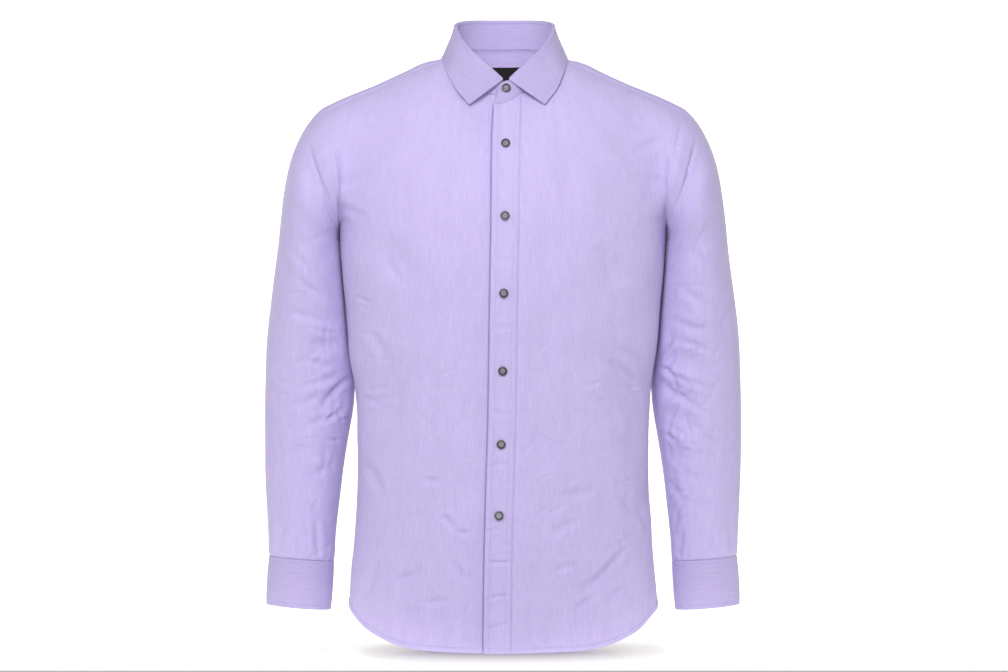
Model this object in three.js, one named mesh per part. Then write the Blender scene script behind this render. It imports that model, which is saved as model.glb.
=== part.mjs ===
// A long sleeve dress shirt, filled out as when it is worn, with nobody in it. Millimetres, +Z up.
// The front faces -Y and +X is the wearer's left. The origin lies on the middle line at the height
// of the neck's shoulder points, where the wearer carries the shirt.
import * as THREE from "three";

// Driving sizes
const CLOTH = 1.2; // wall of the single cloth
const BAND = 1.6; // wall of the collar and the cuffs, which hold an interlining
const GAP = 0.3; // between pieces at a seam
const LAP = 2.6; // how far the upper front lies over the under front
const CHEST_Z = -224; // height of the armpits
const SIDE_Y = 2; // where the side seams run, from front to back
const ROUNDNESS = 2.25; // exponent of the body's rounded sections
const NECK = { half: 66, middleY: -8, deep: 58 };
const NECK_SLOPE = { middle: 62, corner: 20, pull: 0.9 }; // how the chest's lines reach the neck
const STAND_TOP = { half: 61.6, deep: 54 };
const STAND_SHIFT = { front: 3.8, side: 2 }; // the collar sits a little to the wearer's left
const STAND_END = { from: 6, lean: 0.7, tipFrom: -5, tip: -52, rise: -38.5 }; // rounded upper end
const UNDER_END_Z = -44; // top of the stand at the under front's edge
const PLACKET_WIDTH = 32;
const UNDERLAP = 30; // from the placket's fold to the under front's edge
const UNDER_STRIP = 36; // the under front's own button strip
const LAP_FADE = { from: 20, to: 56 }; // where the upper front comes down from its lap, by x
const FOLD_RADIUS = 2.5; // outside of the collar's fold
const FOLD_DROP = 2.3; // from the collar's fold to the collar stand
const LEAF_LIFT = 3.4; // the collar leaf's outside over the shoulders
const LEAF_SHIFT = { front: 5, side: 2.2 };
const LEAF_DRAPE = { out: 0.15, fall: 0.8, reach: 1.05 }; // how the leaf leaves its fold and ends
const SLEEVE_CLEAR = 2.2; // between a sleeve and the body
const CUFF_LAP_DEG = 36; // overlap of a cuff's ends
const CUFF_OPENING_DEG = 236; // where a cuff closes, towards the back
const CUFF_STEP_OVER = { from: 26, to: 2, clear: 0.9 }; // degrees before the lap, and its clearance
const CUFF_TILT = { slope: 0.085, from: -480 }; // the cuffs hang lower on their inner side

// A button's turned outline, from its back up to the rim and down to the hollow face
const NAP = [
  { radius: 0, height: 0 },
  { radius: 5, height: 0 },
  { radius: 5.7, height: 0.9 },
  { radius: 5.2, height: 2.6 },
  { radius: 3.8, height: 2.4 },
  { radius: 3.1, height: 1.6 },
  { radius: 0, height: 1.6 },
];
const NAP_SIDES = 12;
const NAP_HEIGHT = { front: 0.4, collar: 0.3, cuff: 0.75 }; // of a button's back over the cloth

// Grid steps: columns from the middle of the front to the side, rows from the hem up
const COLUMNS = { strip: 3, neck: 8, side: 16 };
const BACK_NECK_COLUMNS = 6; // on each half of the back neck
const ROWS = { chest: 12, top: 22 };
const BACK_ROWS = 7; // of the back, over the armpits
const YOKE_ROWS = 6;
const LABEL = { columns: [12, 16], rows: [3, 5], thick: 1 }; // in the yoke's own steps
const SLEEVE_ROWS = { cap: 8, end: 23 };

// The body's half width, and its depth in front of and behind the side seams
const BODY = [
  { z: -775, half: 198, front: 121, back: 109 },
  { z: -700, half: 197, front: 120, back: 108 },
  { z: -627, half: 191, front: 118, back: 106 },
  { z: -565, half: 187, front: 116, back: 102 },
  { z: -504, half: 186, front: 114, back: 96 },
  { z: -442, half: 188, front: 114, back: 91 },
  { z: -374, half: 197, front: 118, back: 90 },
  { z: -318, half: 202, front: 123, back: 95 },
  { z: -224, half: 209.5, front: 125.5, back: 107.5 },
  { z: -180, half: 213, front: 122, back: 111 },
];

// Height of the shirt tail's edge, by the angle of the section from its middle
const HEM = [
  { deg: 0, front: -755, back: -766 },
  { deg: 15, front: -754, back: -765 },
  { deg: 27, front: -752.5, back: -762 },
  { deg: 38, front: -748, back: -757 },
  { deg: 49, front: -739, back: -748 },
  { deg: 61, front: -727, back: -734 },
  { deg: 73, front: -713, back: -717 },
  { deg: 90, front: -700, back: -700 },
];

// The folded edge of the front placket
const PLACKET = [
  { z: -760, edge: -23.6 },
  { z: -646, edge: -22.4 },
  { z: -552, edge: -20.1 },
  { z: -459, edge: -17.2 },
  { z: -340, edge: -15.6 },
  { z: -224, edge: -13.6 },
  { z: -130, edge: -12.8 },
  { z: -57, edge: -10.3 },
];

// Heights of the neck seam and of the collar's fold, by the angle round the neck from the front
const COLLAR = [
  { deg: 0, seam: -57, fold: -35 },
  { deg: 15, seam: -56, fold: -22.5 },
  { deg: 30, seam: -50, fold: -9 },
  { deg: 45, seam: -38, fold: 3 },
  { deg: 60, seam: -22, fold: 16 },
  { deg: 78, seam: -6, fold: 30 },
  { deg: 90, seam: 0, fold: 37 },
  { deg: 110, seam: 6, fold: 42.5 },
  { deg: 140, seam: 10, fold: 47 },
  { deg: 180, seam: 11, fold: 48.5 },
];
const YOKE_DEG = 78; // where the front yoke seam meets the neck
const YOKE_TURN = { deg: 56, steps: 4 }; // how the yoke's lines turn in towards the neck's corner
const YOKE_SLOPE = { middle: 50, outer: -17, steps: 9.5 }; // how they reach the front edge
const UPPER_DIP = { deep: 12, from: -9, to: 24 }; // lower neck seam at the upper front's edge, by x

// The outer edge of the collar leaf, by the angle round the neck at its fold
const LEAF = [
  { deg: 3.5, x: 47.3, y: -73, z: -70.5 },
  { deg: 8, x: 52.4, y: -71, z: -70 },
  { deg: 30, x: 62.5, y: -60, z: -50 },
  { deg: 50, x: 71, y: -46, z: -32 },
  { deg: 70, x: 78, y: -27, z: -13 },
  { deg: 90, x: 80.5, y: -4, z: -5 },
  { deg: 110, x: 78, y: 22, z: -3 },
  { deg: 135, x: 61, y: 47, z: 0 },
  { deg: 160, x: 30, y: 61, z: 4 },
  { deg: 180, x: 0, y: 65, z: 5 },
];

// The left armhole, by the angle from the shoulder point: forwards is positive
const ARMHOLE = [
  { deg: -180, x: 209.5, y: 2, z: -224 },
  { deg: -165, x: 209, y: 24, z: -221 },
  { deg: -150, x: 209.5, y: 44, z: -211 },
  { deg: -120, x: 214, y: 69, z: -184 },
  { deg: -90, x: 221, y: 78, z: -147 },
  { deg: -70, x: 226, y: 68, z: -118 },
  { deg: -45, x: 230, y: 45, z: -92 },
  { deg: -20, x: 233, y: 18, z: -75 },
  { deg: 0, x: 234, y: 0, z: -71 },
  { deg: 15, x: 232.5, y: -14, z: -74 },
  { deg: 45, x: 226, y: -42, z: -92 },
  { deg: 70, x: 218, y: -61, z: -120 },
  { deg: 90, x: 213.5, y: -69, z: -147 },
  { deg: 120, x: 210, y: -62, z: -184 },
  { deg: 150, x: 208.5, y: -38, z: -212 },
  { deg: 165, x: 209, y: -19, z: -221 },
  { deg: 180, x: 209.5, y: 2, z: -224 },
];
const YOKE_ON_ARMHOLE = { front: 15, back: -70 };

// The front yoke seam from the neck to the armhole, and the back one from the middle to the armhole
const YOKE_FRONT = [
  { share: 0.2, x: 96, y: -22, z: -13 },
  { share: 0.42, x: 132, y: -21, z: -29 },
  { share: 0.64, x: 168, y: -19, z: -44.5 },
  { share: 0.85, x: 207, y: -16, z: -60.5 },
];
const YOKE_BACK = [
  { share: 0, x: 0, y: 104, z: -96 },
  { share: 0.33, x: 75, y: 102, z: -96 },
  { share: 0.6, x: 134, y: 94, z: -99 },
  { share: 0.8, x: 180, y: 84, z: -106 },
];

const YOKE_NECK_SHARE = 0.33; // of the back yoke seam, below the neck
const BACK_LEAN = { y: -0.22, z: 0.97 }; // direction in which the back crosses the yoke seam

// A sleeve's sections: outer and inner side, the middle of its depth, and half that depth
const SLEEVE = [
  { z: -645, outer: 300.5, inner: 216.5, middle: 11, deep: 36 },
  { z: -625, outer: 301, inner: 215.5, middle: 12, deep: 42 },
  { z: -565, outer: 304.5, inner: 209.5, middle: 18, deep: 47 },
  { z: -504, outer: 306.6, inner: 201.6, middle: 25, deep: 51 },
  { z: -442, outer: 306.8, inner: 191.8, middle: 32, deep: 57 },
  { z: -370, outer: 304.8, inner: 192, middle: 34, deep: 64 },
  { z: -316, outer: 299, inner: 196, middle: 31, deep: 70 },
  { z: -270, outer: 292.5, inner: 201, middle: 27, deep: 76 },
  { z: -240, outer: 288.5, inner: 205, middle: 22, deep: 79 },
  { z: -225, outer: 287, inner: 207, middle: 19, deep: 80 },
];
const SLEEVE_START_Z = -240;
const SLEEVE_END_Z = -645;
const CAP_FULLNESS = 1.04;
const CUFF = [
  { z: -707, outer: 304, inner: 220.5, middle: 8, deep: 34.5 },
  { z: -676, outer: 302.5, inner: 218.5, middle: 9.5, deep: 35.5 },
  { z: -645, outer: 300.5, inner: 216.5, middle: 11, deep: 36 },
];

// Which way the sleeve cap leaves the armhole
const CAP = [
  { deg: -180, x: 0.12, y: 0.05, z: -1 },
  { deg: -90, x: 0.8, y: 0.15, z: -0.6 },
  { deg: 0, x: 0.72, y: 0, z: -0.69 },
  { deg: 90, x: 0.8, y: -0.1, z: -0.6 },
  { deg: 180, x: 0.12, y: 0.05, z: -1 },
];

// The largest folds: a trough from one point to another as seen from the front (facing -1) or from
// behind (facing 1), bowed sideways, with its width and depth. A negative depth is a ridge.
const FOLDS = [
  { facing: -1, x1: -251, z1: -112, x2: -207, z2: -222, bow: -5, width: 13, deep: 8 },
  { facing: -1, x1: 249, z1: -108, x2: 207, z2: -222, bow: 5, width: 13, deep: 8 },
  { facing: -1, x1: -276, z1: -222, x2: -228, z2: -280, bow: 4, width: 14, deep: 4 },
  { facing: -1, x1: -268, z1: -196, x2: -218, z2: -262, bow: 3, width: 12, deep: 4 },
  { facing: -1, x1: 275, z1: -214, x2: 232, z2: -275, bow: -4, width: 14, deep: 4 },
  { facing: -1, x1: -253, z1: -327, x2: -208, z2: -346, bow: -4, width: 12, deep: 4 },
  { facing: -1, x1: -246, z1: -372, x2: -206, z2: -374, bow: 3, width: 12, deep: 4 },
  { facing: -1, x1: -236, z1: -456, x2: -200, z2: -430, bow: 3, width: 12, deep: 4 },
  { facing: -1, x1: 196, z1: -418, x2: 246, z2: -452, bow: 4, width: 12, deep: 5 },
  { facing: -1, x1: 203, z1: -452, x2: 252, z2: -488, bow: 3, width: 12, deep: 5 },
  { facing: -1, x1: 210, z1: -500, x2: 250, z2: -520, bow: -3, width: 12, deep: 4 },
  { facing: -1, x1: 208, z1: -388, x2: 262, z2: -404, bow: 4, width: 13, deep: 4 },
  { facing: -1, x1: -294, z1: -596, x2: -262, z2: -612, bow: -4, width: 12, deep: 4 },
  { facing: -1, x1: -152, z1: -240, x2: -116, z2: -298, bow: 3, width: 20, deep: 4 },
  { facing: -1, x1: -142, z1: -362, x2: -160, z2: -520, bow: 6, width: 22, deep: 4 },
  { facing: -1, x1: 124, z1: -244, x2: 146, z2: -300, bow: -3, width: 20, deep: 4 },
  { facing: -1, x1: 118, z1: -366, x2: 176, z2: -480, bow: 8, width: 22, deep: 5 },
  { facing: -1, x1: 96, z1: -690, x2: 160, z2: -628, bow: -5, width: 18, deep: 4 },
  { facing: -1, x1: -136, z1: -676, x2: -112, z2: -662, bow: 0, width: 18, deep: 3 },
  { facing: 1, x1: -150, z1: -300, x2: -118, z2: -420, bow: 6, width: 24, deep: 5 },
  { facing: 1, x1: 142, z1: -280, x2: 110, z2: -430, bow: -6, width: 24, deep: 5 },
  { facing: 1, x1: -60, z1: -470, x2: 70, z2: -440, bow: 8, width: 24, deep: 4 },
  { facing: 1, x1: 120, z1: -600, x2: 60, z2: -690, bow: 5, width: 22, deep: 4 },
  { facing: 1, x1: -252, z1: -120, x2: -212, z2: -214, bow: -5, width: 14, deep: 7 },
  { facing: 1, x1: 252, z1: -120, x2: 212, z2: -214, bow: 5, width: 14, deep: 7 },
  { facing: 1, x1: -276, z1: -380, x2: -226, z2: -420, bow: 5, width: 14, deep: 5 },
  { facing: 1, x1: -284, z1: -440, x2: -230, z2: -462, bow: -5, width: 14, deep: 4 },
  { facing: 1, x1: 278, z1: -376, x2: 228, z2: -412, bow: -5, width: 14, deep: 5 },
  { facing: 1, x1: 282, z1: -446, x2: 234, z2: -478, bow: 5, width: 14, deep: 4 },
];

// The form of a fold: where the cloth counts as facing the viewer, and the ridges along a trough
const FOLD_FORM = { seenFrom: 0.05, seenTo: 0.55, ridge: 0.4, ridgeAt: 1.7, taper: 0.7 };
const FOLD_CLEAR = 1.6; // grid steps over which the folds fade towards a seam
const FOLD_CLEAR_SIDE = 2;
const FOLD_CLEAR_STRIP = 1.5;

// Buttons on the front, each by its height, and the one on the collar stand
const FRONT_BUTTONS = [-119, -212, -308, -403, -494, -583];
const COLLAR_BUTTON = { x: 3.7, z: -49 };

const shirtCloth = { color: 0xb9a9e6, roughness: 0.86, metalness: 0 };
const bandCloth = { color: 0xb6a6e3, roughness: 0.84, metalness: 0 };
const buttonPlastic = { color: 0x55555c, roughness: 0.32, metalness: 0 };
const labelCloth = { color: 0x17171b, roughness: 0.7, metalness: 0 };

const radians = THREE.MathUtils.degToRad;
const degrees = THREE.MathUtils.radToDeg;
const blend = (from, to, x) => THREE.MathUtils.smoothstep(x, from, to);
const mix = THREE.MathUtils.lerp;
const point = (x, y, z) => new THREE.Vector3(x, y, z);

function hermite(a, slopeA, b, slopeB, t) {
  const rest = 1 - t;
  return (1 + 2 * t) * rest * rest * a + t * rest * rest * slopeA
    + t * t * (3 - 2 * t) * b - t * t * rest * slopeB;
}

function bend(a, leaving, b, arriving, t) {
  return point(
    hermite(a.x, leaving.x, b.x, arriving.x, t),
    hermite(a.y, leaving.y, b.y, arriving.y, t),
    hermite(a.z, leaving.z, b.z, arriving.z, t),
  );
}

// A smooth value between the rows of a table that is sorted by its key column.
function along(rows, key, at, column) {
  let k = 1;
  while (k < rows.length - 1 && rows[k][key] < at) k++;
  const a = rows[k - 1];
  const b = rows[k];
  const slope = (p, q) => (q[column] - p[column]) / (q[key] - p[key]);
  const here = slope(a, b);
  const before = k > 1 ? (slope(rows[k - 2], a) + here) / 2 : here;
  const after = k < rows.length - 1 ? (here + slope(b, rows[k + 1])) / 2 : here;
  const span = b[key] - a[key];
  const t = THREE.MathUtils.clamp((at - a[key]) / span, 0, 1);
  return hermite(a[column], before * span, b[column], after * span, t);
}

const pointAlong = (rows, key, at) =>
  point(along(rows, key, at, "x"), along(rows, key, at, "y"), along(rows, key, at, "z"));

// The body below the armpits: a rounded section at each height, deg 0 in the middle, 90 at the side
function bodyPoint(deg, z, side) {
  const angle = radians(deg);
  const across = Math.sign(deg) * Math.abs(Math.sin(angle)) ** (2 / ROUNDNESS);
  const out = Math.max(Math.cos(angle), 0) ** (2 / ROUNDNESS);
  const depth = along(BODY, "z", z, side);
  const y = side === "front" ? SIDE_Y - depth * out : SIDE_Y + depth * out;
  return point(along(BODY, "z", z, "half") * across, y, z);
}

function degAt(x, half) {
  return Math.sign(x) * degrees(Math.asin((Math.abs(x) / half) ** (ROUNDNESS / 2)));
}

// Half width of the body at a place in its depth, for what hangs beside it
function bodyHalfAt(y, z) {
  const depth = along(BODY, "z", z, y < SIDE_Y ? "front" : "back");
  const share = Math.min(Math.abs(y - SIDE_Y) / depth, 1);
  return along(BODY, "z", z, "half") * (1 - share ** ROUNDNESS) ** (1 / ROUNDNESS);
}

function neckPoint(deg) {
  const angle = radians(deg);
  return point(
    NECK.half * Math.sin(angle),
    NECK.middleY - NECK.deep * Math.cos(angle),
    along(COLLAR, "deg", Math.abs(deg), "seam"),
  );
}

const armholePoint = (deg) => pointAlong(ARMHOLE, "deg", deg);

const yokeFront = [
  { share: 0, ...neckPoint(YOKE_DEG) },
  ...YOKE_FRONT,
  { share: 1, ...armholePoint(YOKE_ON_ARMHOLE.front) },
];
const yokeBack = [...YOKE_BACK, { share: 1, ...armholePoint(YOKE_ON_ARMHOLE.back) }];

// The chest over the armpits, on the wearer's left and a little past the middle. Each line up it
// starts at a place on the armpits' section and rises to the neck or to the yoke.
const CHEST_HALF = along(BODY, "z", CHEST_Z, "half");
const NECK_CORNER_X = 78; // on the armpits' section, below the corner of neck and yoke
const NECK_DEG = degAt(NECK_CORNER_X, CHEST_HALF);

function chestLine(deg) {
  const low = bodyPoint(deg, CHEST_Z, "front");
  const above = bodyPoint(deg, CHEST_Z + 1, "front");
  const cornerX = neckPoint(YOKE_DEG).x;
  const high = deg > NECK_DEG
    ? pointAlong(yokeFront, "share", (deg - NECK_DEG) / (90 - NECK_DEG))
    : neckPoint(degrees(Math.asin((low.x * cornerX) / NECK_CORNER_X / NECK.half)));
  const length = low.distanceTo(high);
  const steep = blend(0, NECK_CORNER_X, Math.abs(low.x));
  const slope = radians(mix(NECK_SLOPE.middle, NECK_SLOPE.corner, steep));
  const leaving = above.sub(low).normalize().multiplyScalar(length);
  const arriving = point(0, Math.cos(slope), Math.sin(slope)).multiplyScalar(NECK_SLOPE.pull * length);
  return { length, at: (t) => bend(low, leaving, high, arriving, t) };
}

function chestPoint(deg, t) {
  const p = chestLine(deg).at(t);
  const outer = Math.max(0, (deg - NECK_DEG) / (90 - NECK_DEG)) ** 4;
  const seam = armholePoint(mix(180, YOKE_ON_ARMHOLE.front, t));
  return p.addScaledVector(seam.sub(chestLine(90).at(t)), outer);
}

// How far the upper front is raised over the under one
const lapAt = (x) => LAP * (1 - blend(LAP_FADE.from, LAP_FADE.to, x));

// A front panel in the frame of its own side, with x growing from the middle to the side seam.
// The upper front is on the wearer's left, and its columns up to `strip` carry the placket.
function frontPanel(upper) {
  const strip = upper ? PLACKET_WIDTH : UNDER_STRIP;
  const stripX = (column, z) => {
    const fold = along(PLACKET, "z", z, "edge");
    return (upper ? fold : -(fold + UNDERLAP)) + strip * Math.min(column / COLUMNS.strip, 1);
  };

  // The line up the chest that passes through a strip column at this share of its height
  function stripLine(column, t) {
    let x = stripX(column, CHEST_Z);
    for (let round = 0; round < 5; round++) {
      const p = chestPoint(degAt(x, CHEST_HALF), t);
      x += stripX(column, p.z) - p.x;
    }
    return x;
  }

  function lineDeg(column, stripAt) {
    if (column > COLUMNS.neck) {
      return mix(NECK_DEG, 90, (column - COLUMNS.neck) / (COLUMNS.side - COLUMNS.neck));
    }
    const share = Math.max(0, (column - COLUMNS.strip) / (COLUMNS.neck - COLUMNS.strip));
    return degAt(mix(stripAt(Math.min(column, COLUMNS.strip)), NECK_CORNER_X, share), CHEST_HALF);
  }

  return function at(column, row) {
    let p;
    if (row <= ROWS.chest) {
      const share = row / ROWS.chest;
      const middleZ = mix(along(HEM, "deg", 0, "front"), CHEST_Z, share);
      const half = along(BODY, "z", middleZ, "half");
      const deg = lineDeg(column, (c) => (stripX(c, middleZ) * CHEST_HALF) / half);
      p = bodyPoint(deg, mix(along(HEM, "deg", Math.abs(deg), "front"), CHEST_Z, share), "front");
    } else {
      const t = (row - ROWS.chest) / (ROWS.top - ROWS.chest);
      let deg = lineDeg(column, (c) => stripLine(c, t));
      const lowX = bodyPoint(deg, CHEST_Z, "front").x;
      const drop = UPPER_DIP.deep * (1 - blend(UPPER_DIP.from, UPPER_DIP.to, lowX));
      const reach = upper ? t * (1 - drop / chestLine(deg).length) : t;
      deg = lineDeg(column, (c) => stripLine(c, reach));
      p = chestPoint(deg, reach);
    }
    if (upper) p.y -= lapAt(p.x);
    return p;
  };
}

// The back and the yoke: their columns run from the wearer's left armhole to the right one.
const BACK_COLUMNS = 2 * (COLUMNS.side - COLUMNS.neck + BACK_NECK_COLUMNS);

// The side that a column is on, 1 on the wearer's left, and its steps from the middle
const backSide = (column) => (column <= BACK_COLUMNS / 2 ? 1 : -1);
const backStep = (column) => Math.abs(BACK_COLUMNS / 2 - column);

function backSeamPoint(column) {
  const step = backStep(column);
  const share = step <= BACK_NECK_COLUMNS
    ? (YOKE_NECK_SHARE * step) / BACK_NECK_COLUMNS
    : mix(YOKE_NECK_SHARE, 1, (step - BACK_NECK_COLUMNS) / (COLUMNS.side - COLUMNS.neck));
  const p = pointAlong(yokeBack, "share", share);
  p.x *= backSide(column);
  return p;
}

function backRising(column, t) {
  const step = backStep(column);
  const deg = step <= BACK_NECK_COLUMNS
    ? degAt((NECK_CORNER_X * step) / BACK_NECK_COLUMNS, CHEST_HALF)
    : mix(NECK_DEG, 90, (step - BACK_NECK_COLUMNS) / (COLUMNS.side - COLUMNS.neck));
  const low = bodyPoint(deg * backSide(column), CHEST_Z, "back");
  const above = bodyPoint(deg * backSide(column), CHEST_Z + 1, "back");
  const high = backSeamPoint(column);
  const length = low.distanceTo(high);
  const leaving = above.sub(low).normalize().multiplyScalar(length);
  const arriving = point(0, BACK_LEAN.y, BACK_LEAN.z).multiplyScalar(length);
  return { deg, point: bend(low, leaving, high, arriving, t) };
}

function backPoint(column, row) {
  const { deg } = backRising(column, 0);
  if (row <= ROWS.chest) {
    const hem = along(HEM, "deg", deg, "back");
    return bodyPoint(deg * backSide(column), mix(hem, CHEST_Z, row / ROWS.chest), "back");
  }
  const t = (row - ROWS.chest) / BACK_ROWS;
  const p = backRising(column, t).point;
  const step = backStep(column);
  const outer = Math.max(0, (step - BACK_NECK_COLUMNS) / (COLUMNS.side - COLUMNS.neck)) ** 4;
  const edgeColumn = column <= BACK_COLUMNS / 2 ? 0 : BACK_COLUMNS;
  const seam = armholePoint(mix(-180, YOKE_ON_ARMHOLE.back, t));
  seam.x *= backSide(column);
  return p.addScaledVector(seam.sub(backRising(edgeColumn, t).point), outer);
}

// The yoke's front edge: both front yoke seams with the back of the neck between them
function yokeEdgePoint(column) {
  const step = backStep(column);
  const p = step <= BACK_NECK_COLUMNS
    ? neckPoint(mix(180, YOKE_DEG, step / BACK_NECK_COLUMNS))
    : pointAlong(yokeFront, "share", (step - BACK_NECK_COLUMNS) / (COLUMNS.side - COLUMNS.neck));
  p.x *= backSide(column);
  return p;
}

function yokeRising(column, t) {
  const low = backSeamPoint(column);
  const high = yokeEdgePoint(column);
  const length = low.distanceTo(high);
  const step = backStep(column);
  const slope = radians(mix(YOKE_SLOPE.middle, YOKE_SLOPE.outer, blend(0, YOKE_SLOPE.steps, step)));
  const turn = radians(YOKE_TURN.deg * (step < BACK_NECK_COLUMNS
    ? step / BACK_NECK_COLUMNS
    : 1 - blend(BACK_NECK_COLUMNS, BACK_NECK_COLUMNS + YOKE_TURN.steps, step)));
  const leaving = point(0, BACK_LEAN.y, BACK_LEAN.z).multiplyScalar(length);
  const arriving = point(-backSide(column) * Math.sin(turn), -Math.cos(turn), Math.tan(slope))
    .multiplyScalar(Math.cos(slope) * length);
  return bend(low, leaving, high, arriving, t);
}

function yokePoint(column, row) {
  const t = row / YOKE_ROWS;
  const p = yokeRising(column, t);
  const step = backStep(column);
  const outer = Math.max(0, (step - BACK_NECK_COLUMNS) / (COLUMNS.side - COLUMNS.neck)) ** 4;
  const edgeColumn = column <= BACK_COLUMNS / 2 ? 0 : BACK_COLUMNS;
  const seam = armholePoint(mix(YOKE_ON_ARMHOLE.back, YOKE_ON_ARMHOLE.front, t));
  seam.x *= backSide(column);
  return p.addScaledVector(seam.sub(yokeRising(edgeColumn, t)), outer);
}

// A sleeve: its columns start under the arm and go round by the front, in the armhole's own steps.
const FRONT_STEPS = ROWS.top - ROWS.chest;
const SLEEVE_COLUMNS = FRONT_STEPS + YOKE_ROWS + BACK_ROWS;

function armholeDeg(column) {
  if (column <= FRONT_STEPS) return mix(180, YOKE_ON_ARMHOLE.front, column / FRONT_STEPS);
  if (column <= FRONT_STEPS + YOKE_ROWS) {
    const share = (column - FRONT_STEPS) / YOKE_ROWS;
    return mix(YOKE_ON_ARMHOLE.front, YOKE_ON_ARMHOLE.back, share);
  }
  return mix(YOKE_ON_ARMHOLE.back, -180, (column - FRONT_STEPS - YOKE_ROWS) / BACK_ROWS);
}

// The share of the way round at each column, measured along the armhole
const roundShare = (() => {
  const lengths = [0];
  for (let column = 1; column <= SLEEVE_COLUMNS; column++) {
    const step = armholePoint(armholeDeg(column)).distanceTo(armholePoint(armholeDeg(column - 1)));
    lengths.push(lengths[column - 1] + step);
  }
  return lengths.map((length) => length / lengths[SLEEVE_COLUMNS]);
})();

function shareAt(column) {
  const low = Math.min(Math.floor(column), SLEEVE_COLUMNS - 1);
  return mix(roundShare[low], roundShare[low + 1], column - low);
}

function tubePoint(rows, deg, z, out = 0) {
  const outer = along(rows, "z", z, "outer");
  const inner = along(rows, "z", z, "inner");
  const angle = radians(deg);
  const half = (outer - inner) / 2 + out;
  const middleX = (outer + inner) / 2;
  const x = middleX - half * Math.cos(angle);
  const y = along(rows, "z", z, "middle") - (along(rows, "z", z, "deep") + out) * Math.sin(angle);
  const tilt = CUFF_TILT.slope * blend(CUFF_TILT.from, SLEEVE_END_Z, z);
  return point(Math.max(x, bodyHalfAt(y, z) + SLEEVE_CLEAR), y, z + tilt * (x - middleX));
}

function sleevePoint(column, row) {
  const deg = 360 * shareAt(column);
  if (row >= SLEEVE_ROWS.cap) {
    const share = (row - SLEEVE_ROWS.cap) / (SLEEVE_ROWS.end - SLEEVE_ROWS.cap);
    return tubePoint(SLEEVE, deg, mix(SLEEVE_START_Z, SLEEVE_END_Z, share));
  }
  const seam = armholePoint(armholeDeg(column));
  const low = tubePoint(SLEEVE, deg, SLEEVE_START_Z);
  const below = tubePoint(SLEEVE, deg, SLEEVE_START_Z - 2);
  const length = CAP_FULLNESS * seam.distanceTo(low);
  const leaving = pointAlong(CAP, "deg", armholeDeg(column)).normalize().multiplyScalar(length);
  const arriving = below.sub(low).normalize().multiplyScalar(length);
  return bend(seam, leaving, low, arriving, row / SLEEVE_ROWS.cap);
}

// How deep the folds press the cloth at a point that faces the front or the back
function foldDepth(p, normal) {
  let total = 0;
  for (const fold of FOLDS) {
    const dx = fold.x2 - fold.x1;
    const dz = fold.z2 - fold.z1;
    const length = Math.hypot(dx, dz);
    const share = ((p.x - fold.x1) * dx + (p.z - fold.z1) * dz) / (length * length);
    if (share <= 0 || share >= 1) continue;
    const side = ((p.z - fold.z1) * dx - (p.x - fold.x1) * dz) / length;
    const across = (side - 4 * fold.bow * share * (1 - share)) / fold.width;
    const seen = blend(FOLD_FORM.seenFrom, FOLD_FORM.seenTo, normal.y * fold.facing);
    const ridges = Math.exp(-((Math.abs(across) - FOLD_FORM.ridgeAt) ** 2));
    const form = Math.exp(-across * across) - FOLD_FORM.ridge * ridges;
    total += fold.deep * seen * form * Math.sin(Math.PI * share) ** FOLD_FORM.taper;
  }
  return total;
}

function makeGrid(rows, columns, at) {
  const grid = [];
  for (let i = 0; i <= rows; i++) {
    grid.push([]);
    for (let j = 0; j <= columns; j++) grid[i].push(at(j, i));
  }
  return grid;
}

const mirrored = (grid) => grid.map((row) => row.map((p) => point(-p.x, p.y, p.z)));

// Outward directions at a grid's points; facing is -1 where the grid is mirrored.
function directions(grid, { round = false, facing = 1 } = {}) {
  const rows = grid.length - 1;
  const columns = grid[0].length - 1;
  const sums = grid.map((row) => row.map(() => point(0, 0, 0)));
  for (let i = 0; i < rows; i++) {
    for (let j = 0; j < columns; j++) {
      const across = grid[i + 1][j + 1].clone().sub(grid[i][j]);
      const other = grid[i + 1][j].clone().sub(grid[i][j + 1]);
      const normal = across.cross(other).multiplyScalar(facing);
      for (const [a, b] of [[i, j], [i + 1, j], [i, j + 1], [i + 1, j + 1]]) sums[a][b].add(normal);
    }
  }
  for (const row of sums) {
    if (round) {
      const joined = row[0].clone().add(row[columns]);
      row[0].copy(joined);
      row[columns].copy(joined);
    }
    for (const normal of row) normal.normalize();
  }
  return sums;
}

function pressFolds(grid, normals, keep) {
  grid.forEach((row, i) => row.forEach((p, j) => {
    p.addScaledVector(normals[i][j], -keep(i, j) * foldDepth(p, normals[i][j]));
  }));
}

// Draws a border of the grid back along the cloth by half a seam gap.
function drawBack(grid, { low = false, high = false, first = false, last = false }) {
  const rows = grid.length - 1;
  const columns = grid[0].length - 1;
  const moved = grid.map((row) => row.map((p) => p.clone()));
  const pull = (i, j, di, dj) => {
    const from = grid[i][j];
    const seam = dj === 0
      ? grid[i][Math.min(j + 1, columns)].clone().sub(grid[i][Math.max(j - 1, 0)])
      : grid[Math.min(i + 1, rows)][j].clone().sub(grid[Math.max(i - 1, 0)][j]);
    seam.normalize();
    const back = grid[i + di][j + dj].clone().sub(from);
    back.addScaledVector(seam, -back.dot(seam)).normalize();
    moved[i][j].addScaledVector(back, GAP / 2);
  };
  for (let j = 0; j <= columns; j++) {
    if (low) pull(0, j, 1, 0);
    if (high) pull(rows, j, -1, 0);
  }
  for (let i = 0; i <= rows; i++) {
    if (first) pull(i, 0, 0, 1);
    if (last) pull(i, columns, 0, -1);
  }
  return moved;
}

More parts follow.
